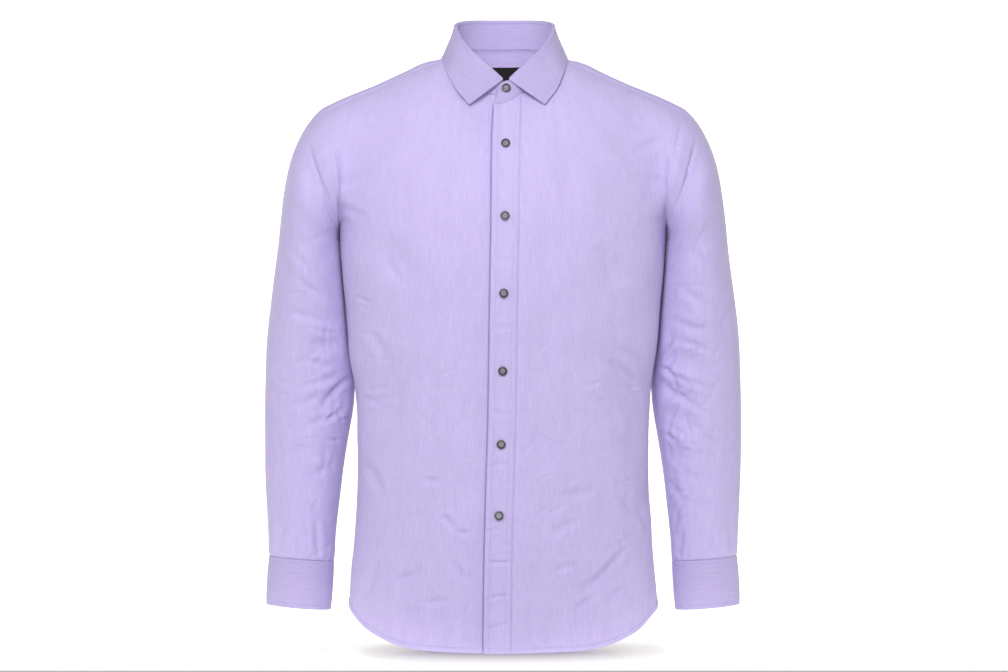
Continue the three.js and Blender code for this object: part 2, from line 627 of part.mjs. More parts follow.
// A closed wall: the outer skin through the grid, the inner one a thickness further in. What lies
// on a panel splits its squares as that panel does, so it gives the panel's points as the base.
function wall(grid, inward, thickness, { round = false, base = grid } = {}) {
  const rows = grid.length - 1;
  const columns = grid[0].length - 1;
  const across = round ? columns : columns + 1;
  const positions = [];
  for (const row of grid) for (let j = 0; j < across; j++) positions.push(row[j]);
  grid.forEach((row, i) => {
    for (let j = 0; j < across; j++) {
      positions.push(row[j].clone().addScaledVector(inward[i][j], thickness));
    }
  });
  const inner = across * (rows + 1);
  const at = (i, j) => i * across + (round ? j % columns : j);
  const index = [];
  const quad = (a, b, c, d, swap) => {
    if (swap) index.push(a, b, d, b, c, d);
    else index.push(a, b, c, a, c, d);
  };
  for (let i = 0; i < rows; i++) {
    for (let j = 0; j < columns; j++) {
      const [a, b, c, d] = [at(i, j), at(i, j + 1), at(i + 1, j + 1), at(i + 1, j)];
      const swap = base[i][j].distanceTo(base[i + 1][j + 1])
        > base[i][j + 1].distanceTo(base[i + 1][j]);
      quad(a, b, c, d, swap);
      quad(inner + a, inner + d, inner + c, inner + b, swap);
    }
  }
  for (let j = 0; j < columns; j++) {
    quad(at(0, j + 1), at(0, j), inner + at(0, j), inner + at(0, j + 1), false);
    quad(at(rows, j), at(rows, j + 1), inner + at(rows, j + 1), inner + at(rows, j), false);
  }
  if (!round) {
    for (let i = 0; i < rows; i++) {
      quad(at(i, 0), at(i + 1, 0), inner + at(i + 1, 0), inner + at(i, 0), false);
      const [c, d] = [at(i + 1, columns), at(i, columns)];
      quad(c, d, inner + d, inner + c, false);
    }
  }
  const geometry = new THREE.BufferGeometry();
  geometry.setAttribute("position", new THREE.Float32BufferAttribute(
    positions.flatMap((p) => [p.x, p.y, p.z]), 3));
  let volume = 0;
  for (let k = 0; k < index.length; k += 3) {
    const [a, b, c] = [positions[index[k]], positions[index[k + 1]], positions[index[k + 2]]];
    volume += a.dot(b.clone().cross(c)) / 6;
  }
  if (volume < 0) {
    for (let k = 0; k < index.length; k += 3) {
      [index[k + 1], index[k + 2]] = [index[k + 2], index[k + 1]];
    }
  }
  geometry.setIndex(index);
  return geometry;
}

const shirt = new THREE.Group();

function add(name, geometry, finish) {
  const mesh = new THREE.Mesh(geometry, new THREE.MeshStandardMaterial(finish));
  mesh.name = name;
  shirt.add(mesh);
  return mesh;
}

// The panels, before their seams are parted
const upperFront = frontPanel(true);
const underFront = frontPanel(false);
const sleeveGrid = makeGrid(SLEEVE_ROWS.end, SLEEVE_COLUMNS, sleevePoint);
const panels = {
  front_left: { grid: makeGrid(ROWS.top, COLUMNS.side, upperFront), facing: 1 },
  front_right: { grid: mirrored(makeGrid(ROWS.top, COLUMNS.side, underFront)), facing: -1 },
  back: { grid: makeGrid(ROWS.chest + BACK_ROWS, BACK_COLUMNS, backPoint), facing: 1 },
  yoke: { grid: makeGrid(YOKE_ROWS, BACK_COLUMNS, yokePoint), facing: 1 },
  sleeve_left: { grid: sleeveGrid, facing: -1, round: true },
  sleeve_right: { grid: mirrored(sleeveGrid), facing: 1, round: true },
};

// No fold reaches a seam, so that the pieces on both sides of it still meet.
const clearOf = (step, last) => blend(0, FOLD_CLEAR, Math.min(step, last - step));
for (const [name, panel] of Object.entries(panels)) {
  const rows = panel.grid.length - 1;
  const columns = panel.grid[0].length - 1;
  panel.normals = directions(panel.grid, panel);
  if (name.startsWith("sleeve")) pressFolds(panel.grid, panel.normals, (i) => clearOf(i, rows));
  else if (name.startsWith("front")) {
    pressFolds(panel.grid, panel.normals, (i, j) => clearOf(i, rows)
      * blend(COLUMNS.strip, COLUMNS.strip + FOLD_CLEAR_STRIP, j)
      * blend(0, FOLD_CLEAR_SIDE, columns - j));
  } else pressFolds(panel.grid, panel.normals, (i, j) => clearOf(i, rows) * clearOf(j, columns));
  panel.normals = directions(panel.grid, panel);
}

// Where panels meet, all of them take the same inward direction, which mitres the seam.
const keyOf = (p) => [p.x, p.y, p.z].map((v) => Math.round(v * 50)).join(" ");
function shareSeams(list) {
  const sums = new Map();
  for (const { grid, normals } of list) {
    const seen = new Set();
    grid.forEach((row, i) => row.forEach((p, j) => {
      const key = keyOf(p);
      if (seen.has(key)) return;
      seen.add(key);
      if (!sums.has(key)) sums.set(key, point(0, 0, 0));
      sums.get(key).add(normals[i][j]);
    }));
  }
  for (const panel of list) {
    const inwardAt = (p) => sums.get(keyOf(p)).clone().normalize().negate();
    panel.inward = panel.grid.map((row) => row.map(inwardAt));
  }
}

// The collar stand runs along the neck seam, from the under end round the back to the upper end.
const neckLine = [
  ...panels.front_right.grid[ROWS.top].slice(0, COLUMNS.neck),
  ...panels.yoke.grid[YOKE_ROWS]
    .slice(COLUMNS.side - COLUMNS.neck, BACK_COLUMNS - (COLUMNS.side - COLUMNS.neck) + 1).reverse(),
  ...panels.front_left.grid[ROWS.top].slice(0, COLUMNS.neck).reverse(),
];
const STAND_ROWS = 3;
const standShift = (deg) => mix(STAND_SHIFT.front, STAND_SHIFT.side, Math.min(Math.abs(deg) / 90, 1));

function neckDegOf(p) {
  return degrees(Math.atan2(p.x / NECK.half, -(p.y - NECK.middleY) / NECK.deep));
}

// Top of the stand, and the centre round which the leaf folds over it
function standTop(deg, lap) {
  const angle = radians(deg);
  return point(
    standShift(deg) + STAND_TOP.half * Math.sin(angle),
    NECK.middleY - STAND_TOP.deep * Math.cos(angle) - lap,
    along(COLLAR, "deg", Math.abs(deg), "fold") - FOLD_DROP - FOLD_RADIUS,
  );
}

// The foot of a stand's column, with its lap and its angle round the neck
const footings = neckLine.map((foot, j) => {
  const isUpper = j > neckLine.length - 1 - COLUMNS.neck;
  const lap = isUpper ? lapAt(foot.x) : 0;
  return { foot, isUpper, lap, deg: neckDegOf(point(foot.x, foot.y + lap, foot.z)) };
});

const standGrid = makeGrid(STAND_ROWS, footings.length - 1, (j, i) => {
  const { foot, isUpper, lap, deg } = footings[j];
  const top = standTop(deg, lap);
  if (isUpper && foot.x < STAND_END.from) {
    top.x = mix(top.x, foot.x, STAND_END.lean);
    top.z = foot.x < STAND_END.tipFrom ? STAND_END.tip : STAND_END.rise;
  } else if (j < COLUMNS.strip) top.z = mix(UNDER_END_Z, top.z, j / COLUMNS.strip);
  return foot.clone().lerp(top, i / STAND_ROWS);
});
panels.collar_stand = { grid: standGrid, facing: -1 };
panels.collar_stand.normals = directions(standGrid, panels.collar_stand);
shareSeams(Object.values(panels));

// Round an armhole the seam lies in the armhole's own plane, so that the walls meet edge to edge.
const ARMHOLE_CENTRE = { x: 218, y: 6, z: -146 };
function mitreArmhole() {
  const aim = (panel, i, j) => {
    const p = panel.grid[i][j];
    const centre = point(Math.sign(p.x) * ARMHOLE_CENTRE.x, ARMHOLE_CENTRE.y, ARMHOLE_CENTRE.z);
    panel.inward[i][j] = centre.sub(p).normalize();
  };
  for (const name of ["front_left", "front_right"]) {
    for (let i = ROWS.chest; i <= ROWS.top; i++) aim(panels[name], i, COLUMNS.side);
  }
  for (let i = ROWS.chest; i <= ROWS.chest + BACK_ROWS; i++) {
    for (const j of [0, BACK_COLUMNS]) aim(panels.back, i, j);
  }
  for (let i = 0; i <= YOKE_ROWS; i++) for (const j of [0, BACK_COLUMNS]) aim(panels.yoke, i, j);
  for (const name of ["sleeve_left", "sleeve_right"]) {
    for (let j = 0; j <= SLEEVE_COLUMNS; j++) aim(panels[name], 0, j);
  }
}
mitreArmhole();

const SEAMS = {
  front_left: { high: true, last: true },
  front_right: { high: true, last: true },
  back: { high: true, first: true, last: true },
  yoke: { low: true, high: true, first: true, last: true },
  sleeve_left: { low: true, high: true },
  sleeve_right: { low: true, high: true },
  collar_stand: { low: true },
};
for (const [name, panel] of Object.entries(panels)) {
  const grid = drawBack(panel.grid, SEAMS[name]);
  const thickness = name === "collar_stand" ? BAND : CLOTH;
  const geometry = wall(grid, panel.inward, thickness, { round: panel.round, base: panel.grid });
  add(name, geometry, name === "collar_stand" ? bandCloth : shirtCloth);
}

const turnedIn = (normals) => normals.map((row) => row.map((n) => n.clone().negate()));
const movedBy = (grid, directions, distance) =>
  grid.map((row, i) => row.map((p, j) => p.clone().addScaledVector(directions[i][j], distance)));

// The values of a grid between these rows and columns
const cutOut = (values, rows, columns) =>
  values.slice(rows[0], rows[1] + 1).map((row) => row.slice(columns[0], columns[1] + 1));

// A strip that lies on a panel: the panel's own points between these rows and columns, moved out.
function laidOn(panel, rows, columns, topCut = 0) {
  const normals = cutOut(panel.normals, rows, columns);
  const base = cutOut(panel.grid, rows, columns);
  const grid = movedBy(base, normals, GAP + CLOTH);
  const last = grid.length - 1;
  grid[last].forEach((p, j) => p.lerp(grid[last - 1][j], topCut));
  return { grid, normals, geometry: wall(grid, turnedIn(normals), CLOTH, { base }) };
}

const PLACKET_TOP_CUT = 0.04; // of its last row, clear of the collar stand
const placket = laidOn(panels.front_left, [0, ROWS.top], [0, COLUMNS.strip], PLACKET_TOP_CUT);
add("front_placket", placket.geometry, shirtCloth);

// The shirt's body round the neck, on which the collar leaf settles
const SETTLE_ABOVE_Z = -150;
const bodySkin = ["front_left", "front_right", "yoke", "back"].flatMap((name) => {
  const { grid, facing } = panels[name];
  const triangles = [];
  for (let i = 0; i < grid.length - 1; i++) {
    for (let j = 0; j < grid[0].length - 1; j++) {
      const [a, b, c, d] = [grid[i][j], grid[i][j + 1], grid[i + 1][j + 1], grid[i + 1][j]];
      if (Math.max(a.z, b.z, c.z, d.z) < SETTLE_ABOVE_Z) continue;
      const pair = facing > 0 ? [[a, b, c], [a, c, d]] : [[a, c, b], [a, d, c]];
      for (const [p, q, r] of pair) triangles.push(new THREE.Triangle(p, q, r));
    }
  }
  return triangles;
});

// Lifts a point off the shirt's body until it stands at least this far out.
function settle(p, lift) {
  let best = Infinity;
  const nearest = point(0, 0, 0);
  const normal = point(0, 0, 0);
  const found = point(0, 0, 0);
  for (const triangle of bodySkin) {
    triangle.closestPointToPoint(p, found);
    const distance = found.distanceToSquared(p);
    if (distance < best) {
      best = distance;
      nearest.copy(found);
      triangle.getNormal(normal);
    }
  }
  const height = p.clone().sub(nearest).dot(normal);
  if (height < lift) p.addScaledVector(normal, lift - height);
  return p;
}

const FOLD_STEPS = 4;
const FALL_STEPS = 7;
const LEAF_START_DEG = 3.5; // each half of the leaf begins beside the collar button

// The leaf's columns stand on the collar stand's own, and its two ends between them.
const stations = standGrid[STAND_ROWS].map((top, j) => ({ top, deg: footings[j].deg }));
function stationBetween(a, b, deg) {
  const share = (deg - a.deg) / (b.deg - a.deg);
  return { top: a.top.clone().lerp(b.top, share), deg };
}
const underFirst = stations.findIndex(({ deg }) => deg < -LEAF_START_DEG);
const upperFirst = stations.findLastIndex(({ deg }) => deg > LEAF_START_DEG && deg < 90);
const leafStations = [
  stationBetween(stations[underFirst - 1], stations[underFirst], -LEAF_START_DEG),
  ...stations.slice(underFirst, upperFirst + 1),
  stationBetween(stations[upperFirst], stations[upperFirst + 1], LEAF_START_DEG),
];

function leafPoint({ top, deg }, side, row) {
  const angle = radians(deg);
  const out = point(Math.sin(angle), -Math.cos(angle), 0);
  const hub = top.clone().addScaledVector(out, FOLD_RADIUS - BAND);
  if (row === 0) return hub.addScaledVector(out, -FOLD_RADIUS).add(point(0, 0, GAP));
  hub.z += FOLD_DROP;
  if (row <= FOLD_STEPS + 1) {
    const turn = Math.PI * (1 - (row - 1) / FOLD_STEPS);
    hub.addScaledVector(out, FOLD_RADIUS * Math.cos(turn));
    hub.z += FOLD_RADIUS * Math.sin(turn);
    return hub;
  }
  const start = hub.addScaledVector(out, FOLD_RADIUS);
  const end = pointAlong(LEAF, "deg", Math.abs(deg));
  end.x = side * end.x + mix(LEAF_SHIFT.front, LEAF_SHIFT.side, Math.min(Math.abs(deg) / 90, 1));
  const length = start.distanceTo(end);
  const t = (row - FOLD_STEPS - 1) / FALL_STEPS;
  const leaving = point(0, 0, -1).addScaledVector(out, LEAF_DRAPE.out)
    .multiplyScalar(LEAF_DRAPE.fall * length);
  const arriving = end.clone().sub(start).multiplyScalar(LEAF_DRAPE.reach);
  return settle(bend(start, leaving, end, arriving, t), LEAF_LIFT);
}
const leafMiddle = leafStations.length / 2;
const leafGrid = makeGrid(FOLD_STEPS + FALL_STEPS + 1, leafStations.length - 1,
  (j, i) => leafPoint(leafStations[j], j < leafMiddle ? -1 : 1, i));
add("collar_leaf", wall(leafGrid, turnedIn(directions(leafGrid)), BAND), bandCloth);

// A cuff is one band whose ends lap over each other towards the back.
const CUFF_COLUMNS = 26;
const CUFF_ROWS = 3;
const CUFF_TURN = 360 + CUFF_LAP_DEG;
const CUFF_RISE = {
  from: 1 - (CUFF_LAP_DEG + CUFF_STEP_OVER.from) / CUFF_TURN,
  to: 1 - (CUFF_LAP_DEG + CUFF_STEP_OVER.to) / CUFF_TURN,
};
function cuffPoint(column, row) {
  const share = column / CUFF_COLUMNS;
  const deg = CUFF_OPENING_DEG + CUFF_LAP_DEG / 2 - CUFF_TURN * (1 - share);
  const out = (BAND + CUFF_STEP_OVER.clear) * blend(CUFF_RISE.from, CUFF_RISE.to, share);
  const z = mix(SLEEVE_END_Z - GAP / 2, CUFF[0].z, row / CUFF_ROWS);
  return tubePoint(CUFF, deg, z, out);
}

// A button stands with its back at the given height over the cloth.
function addButton(name, foot, direction, height) {
  const outline = NAP.map((row) => new THREE.Vector2(row.radius, row.height));
  const geometry = new THREE.LatheGeometry(outline, NAP_SIDES);
  geometry.deleteAttribute("uv");
  const mesh = add(name, geometry, buttonPlastic);
  mesh.quaternion.setFromUnitVectors(point(0, 1, 0), direction);
  mesh.position.copy(foot).addScaledVector(direction, height);
}

const SLEEVE_OPENING_ROWS = [SLEEVE_ROWS.end - 6, SLEEVE_ROWS.end - 1];
for (const side of [1, -1]) {
  const hand = side > 0 ? "left" : "right";
  const leftGrid = makeGrid(CUFF_ROWS, CUFF_COLUMNS, cuffPoint);
  const grid = side > 0 ? leftGrid : mirrored(leftGrid);
  const normals = directions(grid, { facing: -side });
  add(`cuff_${hand}`, wall(grid, turnedIn(normals), BAND), bandCloth);
  const column = CUFF_COLUMNS - 1;
  const middle = grid[1][column].clone().lerp(grid[2][column], 0.5);
  addButton(`cuff_button_${hand}`, middle, normals[1][column], NAP_HEIGHT.cuff);
  const centre = roundShare.findIndex((share) => 360 * share > CUFF_OPENING_DEG);
  const opening = laidOn(panels[`sleeve_${hand}`], SLEEVE_OPENING_ROWS, [centre - 1, centre + 1]);
  add(`sleeve_placket_${hand}`, opening.geometry, shirtCloth);
}

// The point of a grid, seen from the front, at the given x and z, with its outward direction
function onGrid(grid, normals, x, z) {
  for (let i = 0; i < grid.length - 1; i++) {
    for (let j = 0; j < grid[0].length - 1; j++) {
      const [a, b, d] = [grid[i][j], grid[i][j + 1], grid[i + 1][j]];
      const [ux, uz, vx, vz] = [b.x - a.x, b.z - a.z, d.x - a.x, d.z - a.z];
      const cross = ux * vz - uz * vx;
      const s = ((x - a.x) * vz - (z - a.z) * vx) / cross;
      const t = (ux * (z - a.z) - uz * (x - a.x)) / cross;
      if (s < 0 || s > 1 || t < 0 || t > 1) continue;
      const foot = a.clone().lerp(b, s).addScaledVector(d.clone().sub(a), t);
      const direction = normals[i][j].clone().lerp(normals[i][j + 1], s).lerp(normals[i + 1][j], t);
      return { foot, direction: direction.normalize() };
    }
  }
  throw new Error("no cloth there");
}

FRONT_BUTTONS.forEach((z, k) => {
  const x = along(PLACKET, "z", z, "edge") + PLACKET_WIDTH / 2;
  const { foot, direction } = onGrid(placket.grid, placket.normals, x, z);
  addButton(`button_front_${k + 1}`, foot, direction, NAP_HEIGHT.front);
});
const UPPER_STAND_COLUMNS = 4; // those that the collar's button can be on
const upperStand = standGrid.map((row) => row.slice(-UPPER_STAND_COLUMNS));
const upperStandNormals = panels.collar_stand.normals.map((row) => row.slice(-UPPER_STAND_COLUMNS));
const collarSpot = onGrid(upperStand, upperStandNormals, COLLAR_BUTTON.x, COLLAR_BUTTON.z);
addButton("button_collar", collarSpot.foot, collarSpot.direction, NAP_HEIGHT.collar);

// The bare label inside the yoke, under the back of the neck
const labelInward = cutOut(panels.yoke.inward, LABEL.rows, LABEL.columns);
const labelBase = cutOut(panels.yoke.grid, LABEL.rows, LABEL.columns);
const labelGrid = movedBy(labelBase, labelInward, CLOTH + GAP);
add("neck_label", wall(labelGrid, labelInward, LABEL.thick, { base: labelBase }), labelCloth);

export default shirt;
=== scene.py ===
import math
from types import SimpleNamespace

import bmesh
import bpy
import numpy as np
from mathutils import Matrix, Vector
from mathutils.bvhtree import BVHTree


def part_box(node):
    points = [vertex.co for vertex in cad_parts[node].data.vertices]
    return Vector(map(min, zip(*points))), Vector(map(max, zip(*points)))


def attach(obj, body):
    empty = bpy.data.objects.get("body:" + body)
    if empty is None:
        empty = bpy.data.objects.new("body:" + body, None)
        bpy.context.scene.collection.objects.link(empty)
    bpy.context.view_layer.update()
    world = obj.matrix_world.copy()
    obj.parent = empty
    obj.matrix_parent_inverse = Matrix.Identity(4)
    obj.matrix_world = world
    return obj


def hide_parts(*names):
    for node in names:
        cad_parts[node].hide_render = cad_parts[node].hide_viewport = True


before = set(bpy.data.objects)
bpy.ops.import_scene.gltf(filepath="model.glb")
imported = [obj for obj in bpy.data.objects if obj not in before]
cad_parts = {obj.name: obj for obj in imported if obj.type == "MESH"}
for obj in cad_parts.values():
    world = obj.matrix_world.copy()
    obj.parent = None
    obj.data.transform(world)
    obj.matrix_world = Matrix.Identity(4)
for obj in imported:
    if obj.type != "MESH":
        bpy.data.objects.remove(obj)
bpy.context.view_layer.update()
MM = 0.001


def table(columns, rows):
    """A table with named columns, from rows of numbers."""
    values = np.array([[float(word) for word in row.split()] for row in rows.strip().splitlines()])
    return dict(zip(columns.split(), values.T))


# Driving sizes
CLOTH = 0.9  # thickness of the single cloth with its seams
BAND = 1.6  # of the collar and cuffs, which hold an interlining
ON_TOP = 1.2  # how far a sewn-on strip stands over the cloth below it
LAP = 2.6  # how far the upper front lies over the under front
LAP_FADE = (20, 56)  # where it comes down from that, by x
CHEST_Z = -224  # height of the armpits
SIDE_Y = 2  # where the side seams run, from front to back
ROUNDNESS = 2.25  # exponent of the body's rounded sections
NECK = SimpleNamespace(half=66, middle_y=-8, deep=58)
NECK_SLOPE = SimpleNamespace(middle=62, corner=20, pull=0.9)  # how the chest reaches the neck
NECK_CORNER_X = 78  # on the armpits' section, below the corner of neck and yoke
STAND_TOP = SimpleNamespace(half=61.6, deep=54)
STAND_SHIFT = (3.8, 2.0)  # the collar sits a little to the wearer's left: in front, at the side
UNDER_END_Z = -44  # top of the collar stand at the under front's edge
PLACKET_WIDTH = 32
UNDERLAP = 30  # from the placket's fold to the under front's edge
UNDER_STRIP = 36
FOLD_RADIUS = 2.5  # outside of the collar's fold
FOLD_DROP = 2.3  # from the collar's fold to the collar stand
LEAF_LIFT = 3.4  # the collar leaf's outside over the shoulders
LEAF_SHIFT = (5.0, 2.2)
LEAF_START_DEG = 3.5  # each half of the leaf begins beside the collar button
SLEEVE_CLEAR = 2.2  # between a sleeve and the body
CUFF_LAP_DEG = 36
CUFF_OPENING_DEG = 236  # where a cuff closes, towards the back
CUFF_TILT = 0.085  # the cuffs hang lower on their inner side
YOKE_DEG = 78  # where the front yoke seam meets the neck
UPPER_DIP = 15  # how much lower the neck seam runs at the upper front's edge
UPPER_DIP_FADE = (-9, 36)  # where it comes up from that, by x

# Steps of the part's own grid: columns from the middle of the front to the side, rows from the hem up
STRIP_COLUMNS, NECK_COLUMNS, SIDE_COLUMNS = 3, 8, 16
BACK_NECK_COLUMNS = 6
BACK_COLUMNS = 2 * (SIDE_COLUMNS - NECK_COLUMNS + BACK_NECK_COLUMNS)
CHEST_ROWS, TOP_ROWS, BACK_ROWS, YOKE_ROWS = 12, 22, 7, 6
CAP_ROWS, SLEEVE_ROWS = 8, 23
CUFF_COLUMNS, CUFF_ROWS = 26, 3
LEAF_FOLD_ROWS, LEAF_FALL_ROWS = 4, 7
FRONT_STEPS = TOP_ROWS - CHEST_ROWS
SLEEVE_COLUMNS = FRONT_STEPS + YOKE_ROWS + BACK_ROWS

BODY = table("z half front back", """
-775 198   121   109
-700 197   120   108
-627 191   118   106
-565 187   116   102
-504 186   114   96
-442 188   114   91
-374 197   118   90
-318 202   123   95
-224 209.5 125.5 107.5
-180 213   122   111
""")
HEM = table("deg front back", """
0  -755   -766
15 -754   -765
27 -752.5 -762
38 -748   -757
49 -739   -748
61 -727   -734
73 -713   -717
90 -700   -700
""")
PLACKET = table("z edge", """
-760 -23.6
-646 -22.4
-552 -20.1
-459 -17.2
-340 -15.6
-224 -13.6
-130 -12.8
-57  -10.3
""")
COLLAR = table("deg seam fold", """
0   -57 -38.5
15  -56 -23.6
30  -50 -9
45  -38 3
60  -22 16
78  -6  30
90  0   37
110 6   42.5
140 10  47
180 11  48.5
""")
LEAF = table("deg x y z", """
3.5 46.6 -73 -69.8
5.6 48.8 -72 -68.6
6.6 49.8 -71 -67.2
30  64   -60 -49
50  72   -46 -32
70  78.6 -27 -15
90  80.5 -4  -5
110 78   22  -3
135 61   47  0
160 30   61  4
180 0    65  5
""")
ARMHOLE = table("deg x y z", """
-180 209.5 2   -224
-165 209   24  -221
-150 209.5 44  -211
-120 214   69  -184
-90  221   78  -147
-70  226   68  -118
-45  230   45  -92
-20  233   18  -75
0    234   0   -71
15   232.5 -14 -74
45   226   -42 -92
70   218   -61 -120
90   213.5 -69 -147
120  210   -62 -184
150  208.5 -38 -212
165  209   -19 -221
180  209.5 2   -224
""")
YOKE_ON_ARMHOLE = SimpleNamespace(front=15, back=-70)
YOKE_FRONT = table("share x y z", """
0.2  96  -22 -13
0.42 132 -21 -29
0.64 168 -19 -44.5
0.85 207 -16 -60.5
""")
YOKE_BACK = table("share x y z", """
0    0   104 -96
0.33 75  102 -96
0.6  134 94  -99
0.8  180 84  -106
""")
SLEEVE = table("z outer inner middle deep", """
-645 300.5 216.5 11 36
-625 301   215.5 12 42
-565 304.5 209.5 18 47
-504 306.6 201.6 25 51
-442 306.8 191.8 32 57
-370 304.8 192   34 64
-316 299   196   31 70
-270 292.5 201   27 76
-240 288.5 205   22 79
-225 287   207   19 80
""")
SLEEVE_START_Z, SLEEVE_END_Z = -240, -645
CUFF = table("z outer inner middle deep", """
-707 304   220.5 8   34.5
-676 302.5 218.5 9.5 35.5
-645 300.5 216.5 11  36
""")
CAP = table("deg x y z", """
-180 0.12 0.05 -1
-90  0.8  0.15 -0.6
0    0.72 0    -0.69
90   0.8  -0.1 -0.6
180  0.12 0.05 -1
""")

# Folds and creases: troughs from one point to another as seen from the front (facing -1) or from
# behind (facing 1), bowed sideways, with their width and depth. A negative depth is a ridge.
CREASE_COLUMNS = "facing x1 z1 x2 z2 bow width deep"
BODY_CREASES = table(CREASE_COLUMNS, """
-1 -251 -112 -207 -222 -5 13 8
-1 249  -108 207  -222 5  13 8
-1 -152 -240 -116 -298 3  20 4
-1 -142 -362 -160 -520 6  22 4
-1 124  -244 146  -300 -3 20 4
-1 118  -366 176  -480 8  22 5
-1 96   -690 160  -628 -5 18 4
-1 -136 -676 -112 -662 0  18 3
-1 -186 -310 -166 -319 -1 4.5 1.6
-1 -184 -322 -168 -327 1  4  1.1
-1 -150 -262 -128 -300 2  6  1.3
-1 -168 -352 -146 -398 3  9  1.6
-1 -120 -396 -150 -470 5  9  1.5
-1 -176 -520 -150 -566 3  9  1.6
-1 -98  -541 -78  -544 2  6  1.5
-1 -79  -582 -64  -600 2  6  1.6
-1 -58  -603 -40  -605 -2 5  1.5
-1 -136 -667 -108 -651 -3 7  1.9
-1 -99  -697 -68  -689 2  6  1.7
-1 -128 -714 -96  -702 3  7  1.5
-1 -160 -640 -176 -690 3  9  1.8
-1 -66  -640 -48  -668 2  7  1.3
-1 62   -654 96   -646 2  5.5 1.4
-1 98   -680 158  -621 -4 7  1.8
-1 88   -706 114  -688 3  6  1.9
-1 128  -700 164  -672 4  8  1.8
-1 168  -572 186  -614 3  7  1.9
-1 150  -560 176  -590 -3 9  1.4
-1 60   -610 96   -590 3  8  1.2
-1 70   -560 120  -548 -3 9  1.1
-1 128  -258 140  -292 -2 6  1.2
-1 132  -392 176  -436 5  8  1.8
-1 142  -374 186  -412 4  7  1.4
-1 106  -430 150  -476 4  9  1.3
-1 162  -130 218  -110 2  8  1.6
-1 168  -160 212  -176 3  9  1.4
-1 -214 -168 -160 -156 -3 9  1.4
-1 -208 -196 -172 -214 2  8  1.2
-1 60   -130 96   -190 5  14 1.0
-1 -70  -128 -96  -190 -5 14 1.0
-1 48   -330 62   -400 3  10 0.9
-1 -58  -300 -46  -372 3  10 0.9
-1 40   -470 58   -520 -3 9  0.9
-1 -50  -440 -66  -500 3  9  0.9
1  -150 -300 -118 -420 6  24 5
1  142  -280 110  -430 -6 24 5
1  -60  -470 70   -440 8  24 4
1  120  -600 60   -690 5  22 4
1  -252 -120 -212 -214 -5 14 7
1  252  -120 212  -214 5  14 7
1  -160 -130 -104 -190 6  12 2.2
1  166  -126 118  -196 -6 12 2.2
1  -170 -380 -110 -404 5  9  1.9
1  172  -396 104  -424 -5 9  1.9
1  -156 -430 -60  -446 -7 10 1.7
1  150  -452 70   -470 6  9  1.5
1  -130 -520 -30  -506 6  11 1.5
1  20   -540 116  -520 -6 10 1.4
1  -164 -600 -130 -690 5  12 1.8
1  -60  -620 -96  -716 -5 11 1.7
1  10   -640 -8   -728 4  12 1.3
1  150  -620 168  -700 -4 10 1.6
1  30   -240 44   -330 4  14 1.1
1  -40  -220 -52  -318 -4 14 1.1
""")
